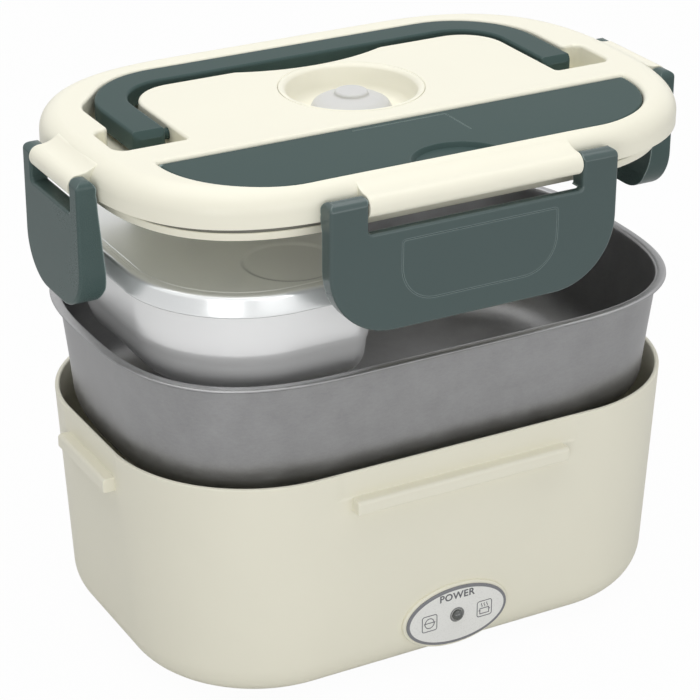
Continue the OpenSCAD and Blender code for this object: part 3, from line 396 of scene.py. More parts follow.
def shaded(colour, gain, lift=0.0):
    """The colour with its three parts times gain, plus lift, and at most 1."""
    return tuple(min(1.0, c * gain + lift) for c in colour[:3]) + (1.0,)


def operators(operation):
    """An operator on wires and its reflected form, each of which adds a Math node."""
    return (lambda wire, other: wire.calc(operation, wire, other),
            lambda wire, other: wire.calc(operation, other, wire))


class Wire:
    """A shader socket that takes part in expressions."""

    def __init__(self, nodes, socket):
        """Wraps a socket of a node tree."""
        self.nodes, self.socket = nodes, socket

    def calc(self, operation, a, b):
        """The result of a Math node."""
        return self.nodes.node("ShaderNodeMath", {"operation": operation}, {0: a, 1: b})

    __add__, __radd__ = operators("ADD")
    __sub__, __rsub__ = operators("SUBTRACT")
    __mul__, __rmul__ = operators("MULTIPLY")
    __truediv__, __rtruediv__ = operators("DIVIDE")
    __pow__, __rpow__ = operators("POWER")


class Nodes:
    """A tree of shader nodes under construction."""

    def __init__(self, tree):
        """Wraps the node tree of a material or of the world."""
        self.tree = tree

    def node(self, kind, settings=None, inputs=None, output=0):
        """Adds a node: its settings first, then the values or wires of its sockets."""
        made = self.tree.nodes.new(kind)
        for key, value in (settings or {}).items():
            setattr(made, key, value)
        for key, value in (inputs or {}).items():
            self.feed(made.inputs[key], value)
        return Wire(self, made.outputs[output])

    def feed(self, socket, value):
        """Links a wire to a socket, or sets the socket's own value."""
        if isinstance(value, Wire):
            self.tree.links.new(value.socket, socket)
        else:
            socket.default_value = value

    def surface(self, first, second, factor, end):
        """Mixes two shaders by a factor and leads them to the tree's end."""
        mixed = self.node("ShaderNodeMixShader", {}, {0: factor, 1: first, 2: second})
        self.feed(self.tree.nodes[end].inputs["Surface"], mixed)


class Finish(Nodes):
    """A material under construction, with a Principled shader at its end."""

    def __init__(self, name):
        """Starts the material of that name."""
        self.material = bpy.data.materials.new(name)
        self.material.use_nodes = True
        super().__init__(self.material.node_tree)
        self.shader = self.tree.nodes["Principled BSDF"]

    def place(self):
        """The object coordinates, in metres."""
        return self.node("ShaderNodeTexCoord", output="Object")

    def axes(self):
        """The three object coordinates, one by one."""
        split = self.node("ShaderNodeSeparateXYZ", inputs={0: self.place()})
        return [Wire(self, output) for output in split.socket.node.outputs]

    def noise(self, scale, detail=3.0, rough=0.5, stretch=(1, 1, 1)):
        """Noise from 0 to 1 with `scale` features to the metre, drawn out along the axes by `stretch`."""
        spread = self.node("ShaderNodeMapping", {}, {"Vector": self.place(), "Scale": stretch})
        return self.node("ShaderNodeTexNoise", {},
                         {"Vector": spread, "Scale": scale, "Detail": detail, "Roughness": rough})

    def blend(self, factor, first, second):
        """Colour mixed from first to second by factor."""
        return self.node("ShaderNodeMix", {"data_type": "RGBA"}, {0: factor, 6: first, 7: second}, 2)

    def range(self, value, low, high, start, end):
        """The value carried from low..high to start..end, and held at both ends."""
        return self.node("ShaderNodeMapRange", {"clamp": True},
                         {0: value, 1: low, 2: high, 3: start, 4: end})

    def bump(self, height, depth, strength=1.0):
        """A normal raised by height, with depth in metres."""
        return self.node("ShaderNodeBump", {}, {"Height": height, "Distance": depth, "Strength": strength})

    def done(self, **sockets):
        """Feeds the shader's sockets, whose names are given with _ for a space."""
        for name, value in sockets.items():
            self.feed(self.shader.inputs[name.replace("_", " ")], value)
        return self.material


def moulded(name, colour, rough=0.45, grain=0.02, coat=0.0, drift=0.05, gleam=0.5, edges=None):
    """Moulded plastic: a faint broad drift of colour, a fine matt grain and a slight waviness. `edges` is
    the paler colour painted on edges as a highlight, where rays sent inwards soon meet the surface again."""
    f = Finish(name)
    broad, fine = f.noise(22, 2), f.noise(2600, 2)
    body = f.blend(broad, shaded(colour, 1 - drift), colour)
    # Painted highlight: the colour turns paler where rays sent inwards meet the surface within a short
    # depth, along edges.
    if edges:
        thin = f.node("ShaderNodeAmbientOcclusion", {"inside": True, "only_local": True, "samples": 8},
                      {"Distance": EDGE_HIGHLIGHT_DEPTH * MM}, "AO")
        body = f.blend(f.range(thin, 0.5, 0.9, 1, 0), body, edges)
    return f.done(Base_Color=body,
                  Roughness=f.range(broad + fine * 0.4, 0.3, 1.1, rough - 0.04, rough + 0.05),
                  Normal=f.bump(fine + broad * 0.6, grain * MM), Specular_IOR_Level=gleam,
                  Coat_Weight=coat, Coat_Roughness=0.12)


def dull_steel(name, light, dark, rough=0.36, stretch=(1, 1, 14)):
    """Rolled steel: fine mill lines, a cloudy mottle and small scuffs."""
    f = Finish(name)
    lines, cloud, scuff = f.noise(420, 4, 0.65, stretch), f.noise(95, 4, 0.6), f.noise(1500, 3)
    shade = lines * 0.35 + cloud * 0.45 + scuff * 0.2
    return f.done(Base_Color=f.blend(f.range(shade, 0.35, 0.68, 0, 1), dark, light), Metallic=1.0,
                  Roughness=f.range(shade, 0.3, 0.7, rough - 0.06, rough + 0.08),
                  Normal=f.bump(lines + scuff * 0.5, 0.02 * MM))


def milky_plastic(name, colour, pearl):
    """Milky plastic with a pearly gloss: cloudy, with a faint flow pattern and a fine satin grain."""
    f = Finish(name)
    cloud, fine = f.noise(38, 3), f.noise(900, 2)
    return f.done(Base_Color=f.blend(cloud, colour, shaded(colour, 1.04)),
                  Roughness=f.range(cloud, 0.3, 0.7, 0.2, 0.26), Normal=f.bump(fine, 0.006 * MM),
                  Metallic=pearl, IOR=1.55)


def rubber(name, colour, rough=0.62):
    """Soft moulded rubber: matt, with a dusty bloom."""
    f = Finish(name)
    bloom, fine = f.noise(130, 4), f.noise(3200, 2)
    return f.done(Base_Color=f.blend(bloom, colour, shaded(colour, 1.1, 0.004)),
                  Roughness=f.range(bloom, 0.3, 0.7, rough - 0.05, rough + 0.06),
                  Normal=f.bump(fine, 0.03 * MM), Sheen_Weight=0.1)


def badge_print(name):
    """Printed film: a pale field inside a grey border of one width, measured in from the oval's edge."""
    f = Finish(name)
    x, _, z = f.axes()
    across, up = x / (BADGE_A * MM), (z - BADGE_Z * MM) / (BADGE_B * MM)
    out = (across * across + up * up) ** 0.5
    rate = ((across / BADGE_A) ** 2 + (up / BADGE_B) ** 2) ** 0.5
    border = f.range((1 - out) * out / rate, BORDER - 0.05, BORDER + 0.05, 1, 0)
    grain = f.noise(1800, 2)
    field = f.blend(grain, tone(232, 232, 228), tone(240, 240, 237))
    return f.done(Base_Color=f.blend(border, field, tone(128, 129, 133)),
                  Roughness=f.range(grain, 0.3, 0.7, 0.26, 0.34), Normal=f.bump(grain, 0.008 * MM))


def lamp_lens(name):
    """Tinted lens: dark, glossy, with a slightly uneven tint."""
    f = Finish(name)
    tint = f.noise(700, 2)
    return f.done(Base_Color=f.blend(tint, tone(66, 69, 67), tone(92, 95, 92)),
                  Roughness=f.range(tint, 0.3, 0.7, 0.1, 0.18), Coat_Weight=0.6)


# The base's cream is a darker copy of the lid's cream of the same plastic: painted shade on the base.
CREAM_BASE = moulded("cream_base", tone(240, 237, 219), 0.42, 0.02)
CREAM_LID = moulded("cream_lid", tone(250, 247, 229), 0.34, 0.008, drift=0.03, gleam=0.3)
CREAM_INNER = moulded("cream_inner", tone(243, 239, 218), 0.48, 0.02)
# Pale teal painted on the teal parts' edges as a highlight.
TEAL_EDGE_HIGHLIGHT = tone(146, 162, 160)
TEAL = moulded("teal", tone(68, 86, 84), 0.34, 0.006, gleam=0.04, edges=TEAL_EDGE_HIGHLIGHT)
TEAL_END = moulded("teal_end", tone(75, 93, 91), 0.28, 0.005, gleam=0.2, edges=TEAL_EDGE_HIGHLIGHT)
TEAL_LATCH = moulded("teal_latch", tone(72, 89, 88), 0.22, 0.004, edges=TEAL_EDGE_HIGHLIGHT)
TRAY_STEEL = dull_steel("tray_steel", tone(170, 170, 171), tone(155, 155, 156), 0.4, (1, 1, 3))
CUTLERY_STEEL = dull_steel("cutlery_steel", tone(222, 222, 224), tone(200, 200, 203), 0.16, (14, 1, 1))
SCREW_STEEL = dull_steel("screw_steel", tone(190, 192, 194), tone(150, 152, 155), 0.28)
PLATE_METAL = dull_steel("plate_metal", tone(205, 207, 209), tone(176, 178, 181), 0.3, (14, 1, 1))
SHIELD_METAL = dull_steel("shield_metal", tone(182, 185, 188), tone(150, 153, 156), 0.34, (14, 1, 1))
BRASS = dull_steel("brass", tone(214, 181, 110), tone(178, 144, 80), 0.24)
BOX_MILK = milky_plastic("box_milk", tone(253, 254, 254), 0.36)
COVER_MILK = milky_plastic("cover_milk", tone(249, 252, 253), 0.5)
SILICONE = rubber("silicone", tone(211, 211, 209), 0.5)
GASKET = rubber("gasket", tone(219, 219, 212))
# Dark grey of the seal bead under the lid's edge: painted shade of the gap there.
SEAL_BEAD_PAINTED_SHADE = rubber("seal_bead_painted_shade", tone(112, 112, 103))
FOOT_RUBBER = rubber("foot_rubber", tone(74, 74, 72))
LEAD_SLEEVE = rubber("lead_sleeve", tone(214, 208, 194))
BADGE = badge_print("badge_print")
BADGE_RING = moulded("badge_ring", tone(138, 139, 138), 0.3, 0.004)
BADGE_INK = moulded("badge_ink", tone(104, 105, 109), 0.4, 0.004)
LENS = lamp_lens("lamp_lens")
BOARD_GREEN = moulded("board_green", tone(48, 108, 72), 0.34, 0.01, coat=0.3)
CERAMIC = moulded("ceramic", tone(216, 209, 192), 0.62, 0.05)
BLACK = moulded("black", tone(44, 45, 47), 0.44, 0.03)
TUB = moulded("tub", tone(222, 219, 201), 0.46, 0.02)
UNDERSIDE = moulded("underside", tone(141, 140, 128), 0.5, 0.04)


# ---------- base ----------

def base_plan(inset, z):
    """Outline of the base drawn in by `inset` at height z, with the lean of its sides."""
    lean = (BASE_TOP - z) / (BASE_TOP - BASE_FOOT)
    dx, dy = LEAN_X * lean + inset, LEAN_Y * lean + inset
    r = BASE_R - (dx + dy) / 2
    return at_height(plan(BASE_A - dx, BASE_B - dy, 150, 2.0, r, r), z)


def press_panels(rows):
    """Presses the four shallow panels into the upper edge, with a depth that fades at their edges."""
    x, y, z = rows[..., 0].copy(), rows[..., 1].copy(), rows[..., 2]
    foot = BASE_TOP - PANEL_LOW
    low = step_between(z, foot - PANEL_LOW_FADE, foot + PANEL_LOW_FADE)
    front = step_between(PANEL_A - np.abs(x), -PANEL_FADE, PANEL_FADE) * (np.abs(y) > BASE_B * 0.9)
    ends = step_between(PANEL_END_B - np.abs(y), -PANEL_FADE, PANEL_FADE) * (np.abs(x) > BASE_A * 0.9)
    rows[..., 1] -= np.sign(y) * PANEL_DEEP * low * front
    rows[..., 0] -= np.sign(x) * PANEL_DEEP * low * ends


def rib(half, out, side, reach):
    """A latch rib: a section with rounded edges carried along its length, with rounded ends."""
    section = rounded([(-SUNK, -RIB_TALL, 0.6), (out, -RIB_TALL, 1.3), (out, 0, 1.5), (-SUNK, 0, 0.6)], 6)
    ends = both_edges(0.5, -half, 0.5, half)
    return slab(section, ends).placed(along(side), out_from(side, reach, RIB_TOP))


def base_shell():
    """The base: foot ring, rounded lower edge, leaning side with pressed panels, rounded rim and inner side,
    as the outline drawn in along a profile. Ribs, the badge's pad and the inlet's frame are joined to it."""
    side = [(0, z) for z in (30, 50, 70, 84.6, 85, 85.4, 85.8, 86.2, 91)]
    rim = [(-grow, z) for grow, z in edge_arc(0.7, BASE_TOP, "top", 5)]
    inner_rim = [(RIM_WALL - inset, z) for inset, z in rim[::-1]]
    inside = [(RIM_WALL, BASE_TOP - 12), (BASE_WALL, BASE_TOP - 14)]
    bowl = bottom_bend(BASE_WALL, BASE_FOOT + BASE_WALL, BASE_FILLET - BASE_WALL, 15)[::-1]
    ring = BASE_FILLET + FOOT_RING
    outer = [(ring, BASE_FOOT)] + bottom_bend(0, BASE_FOOT, BASE_FILLET, 15) + side + rim
    profile = outer + inner_rim + inside + bowl + [(ring, BASE_FOOT + BASE_WALL)]
    rows = np.array([base_plan(inset, z) for inset, z in profile])
    press_panels(rows[:len(outer)])
    ribs = [rib(RIB_HALF, RIB_OUT, side, BASE_B) for side in (FRONT, BACK)]
    ribs += [rib(RIB_END_HALF, RIB_END_OUT, side, BASE_A) for side in (LEFT, RIGHT)]
    face = np.concatenate([[(0, -SUNK)], edge_arc(0.9, 0, "top")])
    pad = slab(oval(BADGE_A + BADGE_EDGE, BADGE_B + BADGE_EDGE), face).placed(facing(FRONT), ON_PAD)
    hole = rounded(four_corners(12.1, 7.1, 3))
    plate = rows_of(rounded(four_corners(16, 9.5, 4)), face)
    inlet = Surface().grid(np.concatenate([plate, rows_of(hole, [(0, 0), (0, -SUNK)])]), ring=True)
    inlet.placed(facing(BACK), AT_INLET)
    window = slab(hole, [(0, -16), (0, 4)]).placed(facing(BACK), AT_INLET)
    base = Surface().grid(rows, ring=True)
    piece("base_shell_skin", base, CREAM_BASE, "base", ["base_shell"], [window],
          joined=Surface().add(*ribs, pad, inlet))


def badge():
    """The badge's plate, and in the middle of it the lamp's dome and collar."""
    face = np.concatenate([[(0, 0.02)], edge_arc(0.3, BADGE_THICK, "top")])
    plate = slab(oval(BADGE_A, BADGE_B), face).placed(facing(FRONT), ON_PAD)
    piece("badge_plate", plate, BADGE, "base", ["badge"])
    dome = arc(LAMP_R, LAMP_DOME, 0, 90, 12)[1:-1] + [0, LAMP_RISE]
    bottom = [(0, -LAMP_DEEP), (LAMP_R, -LAMP_DEEP), (LAMP_R, LAMP_RISE)]
    lens = lathe(np.concatenate([bottom, dome, [(0, LAMP_RISE + LAMP_DOME)]]), 48)
    piece("lamp_dome", lens.placed(facing(FRONT), ON_PAD), LENS, "base", ["lamp"], angle=50)
    collar = np.array([(0.1, 0), (0.1, 0.55), (0.35, 0.75), (0.75, 0.75), (0.95, 0.55), (0.95, 0)])
    ring = lathe(collar + [LAMP_R, 0], 48, ring=True).placed(facing(FRONT), ON_PAD)
    piece("lamp_collar", ring, BADGE_RING, "base", [])


def strip(points, width, closed=False):
    """A printed line: the path's points moved half the width to either side, with a thin raised face."""
    p = np.asarray(points, float)
    ahead = np.roll(p, -1, 0) - p if closed else np.gradient(p, axis=0)
    behind = p - np.roll(p, 1, 0) if closed else ahead
    ahead = ahead / np.linalg.norm(ahead, axis=1, keepdims=True)
    behind = behind / np.linalg.norm(behind, axis=1, keepdims=True)
    mean = ahead + behind
    mean /= np.linalg.norm(mean, axis=1, keepdims=True)
    n = np.stack([mean[:, 1], -mean[:, 0]], 1) / np.sum(mean * ahead, 1)[:, None] * width / 2
    section = [(p + n, 0), (p + n, INK), (p - n, INK), (p - n, 0)]
    rows = np.array([at_height(flat, z) for flat, z in section]).transpose(1, 0, 2)
    return Surface().grid(rows, caps=not closed, ring=closed)


def pictograms():
    """Two framed pictograms, a covered bowl and a steaming pot, as thin printed lines."""
    frame_line = strip(rounded(four_corners(3.25, 3.4, 0.9), 4)[0], LINE, True)
    bowl = [arc(2.1, 2.3, 180, 360, 20) + [0, 0.2], [(-2.5, 0.2), (2.5, 0.2)],
            arc(1.9, 1.9, 0, 180, 20) + [0, 0.25]]
    pot = strip([(-2.0, 0.1), (-2.0, -2.2), (2.0, -2.2), (2.0, 0.1)], LINE, True)
    grips = [[(-2.6, -0.7), (-2.0, -0.7)], [(2.0, -0.7), (2.6, -0.7)]]
    h = np.linspace(0.7, 2.5, 9)
    wisps = [np.stack([x + 0.22 * np.sin((h - 0.7) * 3.5), h], 1) for x in (-1.2, 0, 1.2)]
    left = Surface().add(frame_line, *(strip(path, LINE) for path in bowl)).moved(-ICON_X, ICON_Y, 0)
    right = Surface().add(frame_line, pot, *(strip(path, LINE) for path in grips),
                          *(strip(path, WISP) for path in wisps)).moved(ICON_X, ICON_Y, 0)
    ink = Surface().add(left, right).placed(facing(FRONT), ON_BADGE)
    piece("badge_pictograms", ink, BADGE_INK, "base", [])


def lamp_word():
    """The word above the lamp, as thin printed letters drawn out to its width and height."""
    letters = bpy.data.curves.new("lamp_word", "FONT")
    letters.body, letters.align_x, letters.align_y = "POWER", "CENTER", "CENTER"
    letters.size, letters.extrude, letters.space_character, letters.offset = 1.0, 0.01, 1.08, 0.022
    flat = put("lamp_word_curve", letters)
    word = settled(flat)
    bpy.data.objects.remove(flat)
    points = np.zeros(len(word.vertices) * 3)
    word.vertices.foreach_get("co", points)
    points = points.reshape(-1, 3)
    front, middle = points[:, 2] > 0, (points.max(0) + points.min(0)) / 2
    points = (points - middle) * [WORD_WIDE / np.ptp(points[:, 0]), WORD_TALL / np.ptp(points[:, 1]), 0]
    points[:, 2] = front * INK
    placed = (points + [0, WORD_UP, 0]) @ np.array(facing(FRONT), float) + ON_BADGE
    word.vertices.foreach_set("co", (placed * MM).ravel())
    word.name = "lamp_word"
    tidy(word)
    word.materials.clear()
    word.materials.append(BADGE_INK)
    obj = put("lamp_word", word)
    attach(obj, "base")


# ---------- tray ----------

def tray_level(inset, z):
    """Outline of the tray drawn in by `inset` at height z."""
    return at_height(plan(TRAY_A - inset, TRAY_B - inset, 90, TRAY_E), z)


def tray():
    """The steel tray: one sheet with a rounded bottom edge, sides that lean out and a rolled flange, as the
    outline drawn in along a profile."""
    low = bottom_bend(TRAY_FOOT, TRAY_Z, TRAY_FILLET, 17)
    bowl = bottom_bend(TRAY_FOOT + STEEL, TRAY_Z + STEEL, TRAY_FILLET - STEEL, 17)[::-1]
    outer = [(5.6, 112), (4.1, 126), (3.5, 133.6), (3.0, 134.4)]
    lip = [(1.2, 134.6), (0.35, 134.75), (0.05, 135.15), (0.1, 135.6), (0.5, 135.92), (1.1, 136), (2.4, 136),
           (3.2, 135.9), (3.75, 135.5), (4.0, 134.8)]
    inner = [(4.15, 133), (4.6, 126), (6.1, 112)]
    sheet = shell(tray_level, low + outer + lip + inner + bowl)
    piece("tray_sheet", sheet, TRAY_STEEL, "tray", ["tray"], angle=40)


# ---------- small food box ----------

def box_level(inset, z):
    """Outline of the food box drawn in by `inset` at height z: broad left corners, tight right ones."""
    outline = plan(BOX_A - inset, BOX_B - inset, 80, 2.0, BOX_R - inset, max(BOX_R2 - inset, 2.0))
    return at_height(outline + [BOX_X, 0], z)


def insert_box():
    """The food box: rounded bottom, side with a fold where it widens, rim, and the same inside."""
    fold = BOX_Z + BOX_FOLD
    low = bottom_bend(BOX_FOOT, BOX_Z, BOX_FILLET, 13)
    bowl = bottom_bend(BOX_FOOT + BOX_WALL, BOX_Z + BOX_WALL, BOX_FILLET - BOX_WALL, 13)[::-1]
    outer = [(3.9, fold - 3.6), (3.8, fold - 2.4), (3.6, fold - 1.2), (3.25, fold), (2.9, fold + 1.2),
             (2.65, fold + 2.4), (2.5, fold + 3.6), (1.9, 165.0), (2.2, 165.5)]
    inner = [(3.2, 165.5), (3.5, 165.0), (4.1, fold + 3.6), (4.5, fold + 1.2), (5.2, fold - 1.2),
             (5.6, fold - 4)]
    box = shell(box_level, low + outer + inner + bowl)
    piece("insert_box_skin", box, BOX_MILK, "insert", ["insert_box"])


def insert_cover():
    """The food box's cover: a skirt that flares to its lower edge, a rounded shoulder, a fine step inside
    the rim and two shallow round dishes."""
    skirt = BOX_TOP - BOX_SKIRT
    outer = [(0.4, 165.6), (0.3, skirt + 0.3), (-0.2, skirt), (-0.8, skirt), (-1.1, skirt + 0.4),
             (-0.95, 161), (-0.1, 165.7)]
    shoulder = [(0.05, 166.4), (0.5, 167.0), (1.2, BOX_TOP), (2.6, BOX_TOP), (2.9, BOX_TOP - 0.25),
                (4.4, BOX_TOP - 0.25), (4.7, BOX_TOP - 0.05)]
    rows = [box_level(1.4, 165.6)] + [box_level(*p) for p in outer + shoulder]
    centre = np.array([BOX_X, 0, 0])
    shrink = np.linspace(1, 0.03, 100)[1:, None, None]
    top = (rows[-1] - centre) * [1, 1, 0] * shrink + centre
    away = np.hypot(top[..., 0] - BOX_X - DISH_X, np.abs(top[..., 1]) - DISH_Y)
    top[..., 2] = BOX_TOP - 0.05 - DISH_DEEP * step_between(DISH_R - away, -0.4, 1.6)
    surface = Surface().grid(np.concatenate([rows, top]))
    piece("insert_cover_skin", surface, COVER_MILK, "insert_cover", ["insert_cover"])


# ---------- lid ----------

def lid_level(inset, z):
    """Outline of the lid drawn in by `inset` at height z."""
    return at_height(plan(LID_A - inset, LID_B - inset, 110, LID_E), z)


def flare(lip, top):
    """Profile of a well's upper edge: a quarter circle from the upright side to the flat top."""
    t = np.linspace(0, math.pi / 2, 9)
    return [(lip * (1 - math.cos(a)), top - lip + lip * math.sin(a)) for a in t] + [(lip + 0.3, top + 3)]


def groove_shape():
    """Outline of the handle's groove: the outer side with a notch at each end, and round the middle island
    with the finger scoop in its back edge."""
    right = [(79, -14, 1.4), (104, -14, 4.5), (104, 9, 4), (96.3, 9, 2.5), (96.3, 63.1, 35.8)]
    left = [(-75.8, 63.1, 35.6), (-100, 35.3, 14), (-100, 9, 2.4), (-107, 9, 4.4), (-107, -14, 4.5),
            (-79, -14, 1.4)]
    inner = [(-79, 43.5, 18), (-32, 43.5, 6), (0, 30.4, 78), (32, 43.5, 6), (79, 43.5, 18)]
    return rounded(right + left + inner, 14)


def bay_shape(inset):
    """Outline of the cutlery bay drawn in by `inset`: a straight back edge, broad front corners."""
    a, front, back = BAY_A - inset, BAY_FRONT + inset, BAY_BACK - inset
    return rounded(mirrored([(a, front, min(39.9 - inset, back - front - 1.1)), (a, back, 1.0)]), 20)


def boss_bar(half, side, reach):
    """A latch bar: a round nose with a hollow web that runs up into the lid's shoulder, carried along its
    length."""
    nose = arc(BAR_R, BAR_R, -112, 90, 30)
    start, pull, end = np.array([0, BAR_R]), np.array([-4.0, BAR_R]), np.array([-7.5, 6.9])
    web = curve(start, pull, end, np.linspace(0, 1, 12)[1:, None])
    outline = np.concatenate([nose, web, [(-9.5, 6.9), (-9.5, -3.0)]])
    ends = both_edges(0.45, -half, 0.45, half, 4)
    return slab(with_normals(outline), ends).placed(along(side), out_from(side, reach, HINGE_Z))


def at_both_ends(profile, steps, y, z):
    """A turned pin or bore at each end of the lid, pointing outwards on the line at y and z."""
    return [lathe(profile, steps).placed(facing(side), (0, y, z)) for side in (LEFT, RIGHT)]


def lid():
    """The lid's shell: its outline drawn in along a rounded profile, then the handle's groove, the cutlery
    bay, the valve's recess and the handle's two bores cut into it. The latch bars are their own piece."""
    t = np.linspace(0, math.pi / 2, 15)
    outer = [(0.5, LID_Z), (0.12, LID_Z + 0.15), (0, LID_Z + 0.6), (0, 199.5)]
    crown = [(LID_FILLET * (1 - math.cos(a)), LID_TOP - LID_FILLET * (1 - math.sin(a))) for a in t]
    inner = [(LID_WALL, LID_CEILING), (LID_WALL, LID_Z)]
    groove = np.concatenate([edge_arc(0.8, LID_TOP - GROOVE_DEEP, "bottom", 4), flare(LIP, LID_TOP)])
    bay = np.concatenate([[(0, LEDGE_Z)], flare(BAY_LIP, LID_TOP)])
    ledge = LID_TOP - CUP_FLANGE
    recess = [(0, BELOW_LID), (CUP_HOLE_R, BELOW_LID), (CUP_HOLE_R, ledge), (CUP_R + 0.15, ledge),
              (CUP_R + 0.15, LID_TOP - 0.3), (CUP_R + 0.5, LID_TOP + 0.02), (CUP_R + 0.8, LID_TOP + 2),
              (0, LID_TOP + 2)]
    cutters = [slab(groove_shape(), groove), slab(bay_shape(0), bay),
               slab(bay_shape(BAY_IN), [(0, BELOW_LID), (0, LEDGE_Z + 1)]),
               lathe(recess, 120).moved(0, VALVE_Y, 0)]
    cutters += at_both_ends([(0, 75.5), (2.3, 75.5), (2.3, 81), (0, 81)], 32, PIVOT_Y, PIVOT_Z)
    top = shell(lid_level, inner + outer + crown)
    piece("lid_shell_skin", top, CREAM_LID, "lid", ["lid_shell"], cutters, 26)
    bars = [boss_bar(BAR_HALF, side, HINGE_Y) for side in (FRONT, BACK)]
    bars += [boss_bar(BAR_END_HALF, side, HINGE_X) for side in (LEFT, RIGHT)]
    piece("latch_bars", Surface().add(*bars), CREAM_LID, "lid", [], angle=50)


def inner_pan():
    """The lid's inner pan: the lid's outline drawn in along the plug's profile, with a step under the lid's
    edge and holes for its screws and the valve's stem. The bead in its groove, dark as painted shade, is its
    own piece."""
    low, under, wall = LID_Z - PLUG_DEEP, LID_Z + 2, PLUG_IN + PLUG_WALL
    outer = np.array([(1, 0), (0.3, 0.3), (0, 1), (0, 3), (0.15, 3.2), (1.2, 3.2), (1.2, 5.6), (-0.1, 5.8)])
    inner = [(PLUG_IN - 0.1, under), (LID_WALL + 0.1, under), (LID_WALL + 0.1, under + 1.4),
             (wall, under + 1.4), (wall, low + PLUG_WALL + 0.6), (wall + 0.2, low + PLUG_WALL + 0.2),
             (wall + 0.6, low + PLUG_WALL)]
    pan = shell(lid_level, [*(outer + [PLUG_IN, low]), *inner])
    # The seal bead is coloured dark to paint the shade in the gap under the lid's edge.
    bead = np.array([(1.3, 3.25), (0.45, 3.25), (0.3, 3.5), (0.3, 4.6), (0.45, 4.85), (1.3, 4.85)])
    piece("seal_bead_painted_shade", shell(lid_level, bead + [PLUG_IN, low], ring=True), SEAL_BEAD_PAINTED_SHADE, "lid", [])
    drills = []
    for x, y, r in [(u * POST_X, v, 1.35) for u in (-1, 1) for v in POST_Y] + [(0, VALVE_Y, 4.0)]:
        drill = [(0, low - 2), (r, low - 2), (r, low + PLUG_WALL + 2), (0, low + PLUG_WALL + 2)]
        drills.append(lathe(drill, 32).moved(x, y, 0))
    piece("lid_inner_skin", pan, CREAM_LID, "lid", ["lid_inner"], drills)


def valve():
    """The valve's cup, a turned bowl with a rounded lip, and the silicone valve, a dome with a button."""
    cup = [(27.2, -1.75), (CUP_R, -1.75), (CUP_R, -0.12), (27.7, 0), (26.6, 0), (25.4, -0.9),
           (BOWL_R - 1.4, -4.2), (22.8, -8.0), (21.1, -9.7), (BOWL_FLOOR_R - 1.0, -BOWL_DEEP),
           (STEM_R + 0.1, -BOWL_DEEP), (STEM_R + 0.1, -11.9), (20.9, -11.9), (26.7, -5.2), (26.7, -1.8)]
    surface = lathe(fillet(cup, 1.3, 6), 128, ring=True).moved(0, VALVE_Y, LID_TOP)
    piece("valve_cup_skin", surface, CREAM_LID, "lid", ["valve_cup"], angle=45)
    stem = [(3.9, -7), (6.2, -5.4), (6.2, -4.8), (STEM_R, -4.8), (STEM_R, 0), (15.2, 0)]
    dome = [(DOME_R, 0.6), (15.6, 2.2), (14.4, 4.2), (11.6, 5.7), (8.4, 6.5), (7.0, 6.9), (KNOB_R, 7.3),
            (KNOB_R, 8.1), (5.9, 8.7), (5.2, 8.75), (4.9, 8.62)]
    shape = np.concatenate([[(0, -7)], fillet(stem + dome, 0.8, 4), [(0, 8.62)]])
    button = lathe(shape).moved(0, VALVE_Y, LID_TOP - BOWL_DEEP + 0.2)
    piece("steam_valve_skin", button, SILICONE, "steam_valve", ["steam_valve"], angle=50)


def handle_line(leg_x, back_y, bend, side):
    """One outline of the handle: a leg, a quarter circle, the back, and the same mirrored. The legs' rounded
    ends draw the outer outline in, where side is 1, and the inner one out, where it is -1."""
    turn = np.linspace(0, math.pi / 2, 8)
    leg = np.concatenate([LEG_ROUND * (1 - np.cos(turn)) + LEG_END, [3.5, 8, 16, 24]])
    narrow = np.concatenate([LEG_ROUND * (1 - np.sin(turn)), np.zeros(4)])
    corner = arc(bend, bend, 0, 90, 28) + [leg_x - bend, back_y - bend]
    back = np.stack([np.linspace(50, 0, 9), np.full(9, back_y)], 1)
    half = np.concatenate([np.stack([leg_x - side * narrow, leg], 1), corner, back])
    return np.concatenate([half, half[-2::-1] * [-1, 1]])


def handle():
    """The handle: a section with rounded edges carried round from one leg's end to the other. Each station
    joins a point of the outer outline to one of the inner outline, and the section's flat middle is drawn
    out to their distance. At the legs' ends the top slopes down."""
    outer = handle_line(LEG_OUT, BACK_OUT, BEND_OUT, 1)
    inner = handle_line(LEG_IN, BACK_IN, BEND_IN, -1)
    width = np.linalg.norm(outer - inner, axis=1)[:, None]
    slope = (np.maximum(0, 1.1 - outer[:, 1]) * (np.abs(outer[:, 0]) > LEG_OUT - 4.5))[:, None]
    wide = LEG_OUT - LEG_IN
    section = rounded([(0, 0, 1.0), (wide, 0, 1.0), (wide, HANDLE_TALL, 1.2), (0, HANDLE_TALL, 1.2)], 6)[0]
    across = section[:, 0] + (section[:, 0] > wide / 2) * (width - wide)
    up = section[:, 1] - (section[:, 1] > HANDLE_TALL / 2) * slope
    flat = outer[:, None] + ((inner - outer) / width)[:, None] * across[..., None]
    bar = Surface().grid(np.concatenate([flat, LID_TOP - HANDLE_TALL + up[..., None]], 2))
    pins = at_both_ends([(0, 76.5), (1.7, 76.5), (2.0, 76.8), (2.0, 83), (0, 83)], 32, PIVOT_Y, PIVOT_Z)
    piece("handle_bail", bar, TEAL, "handle", ["handle"], angle=30, joined=Surface().add(*pins))


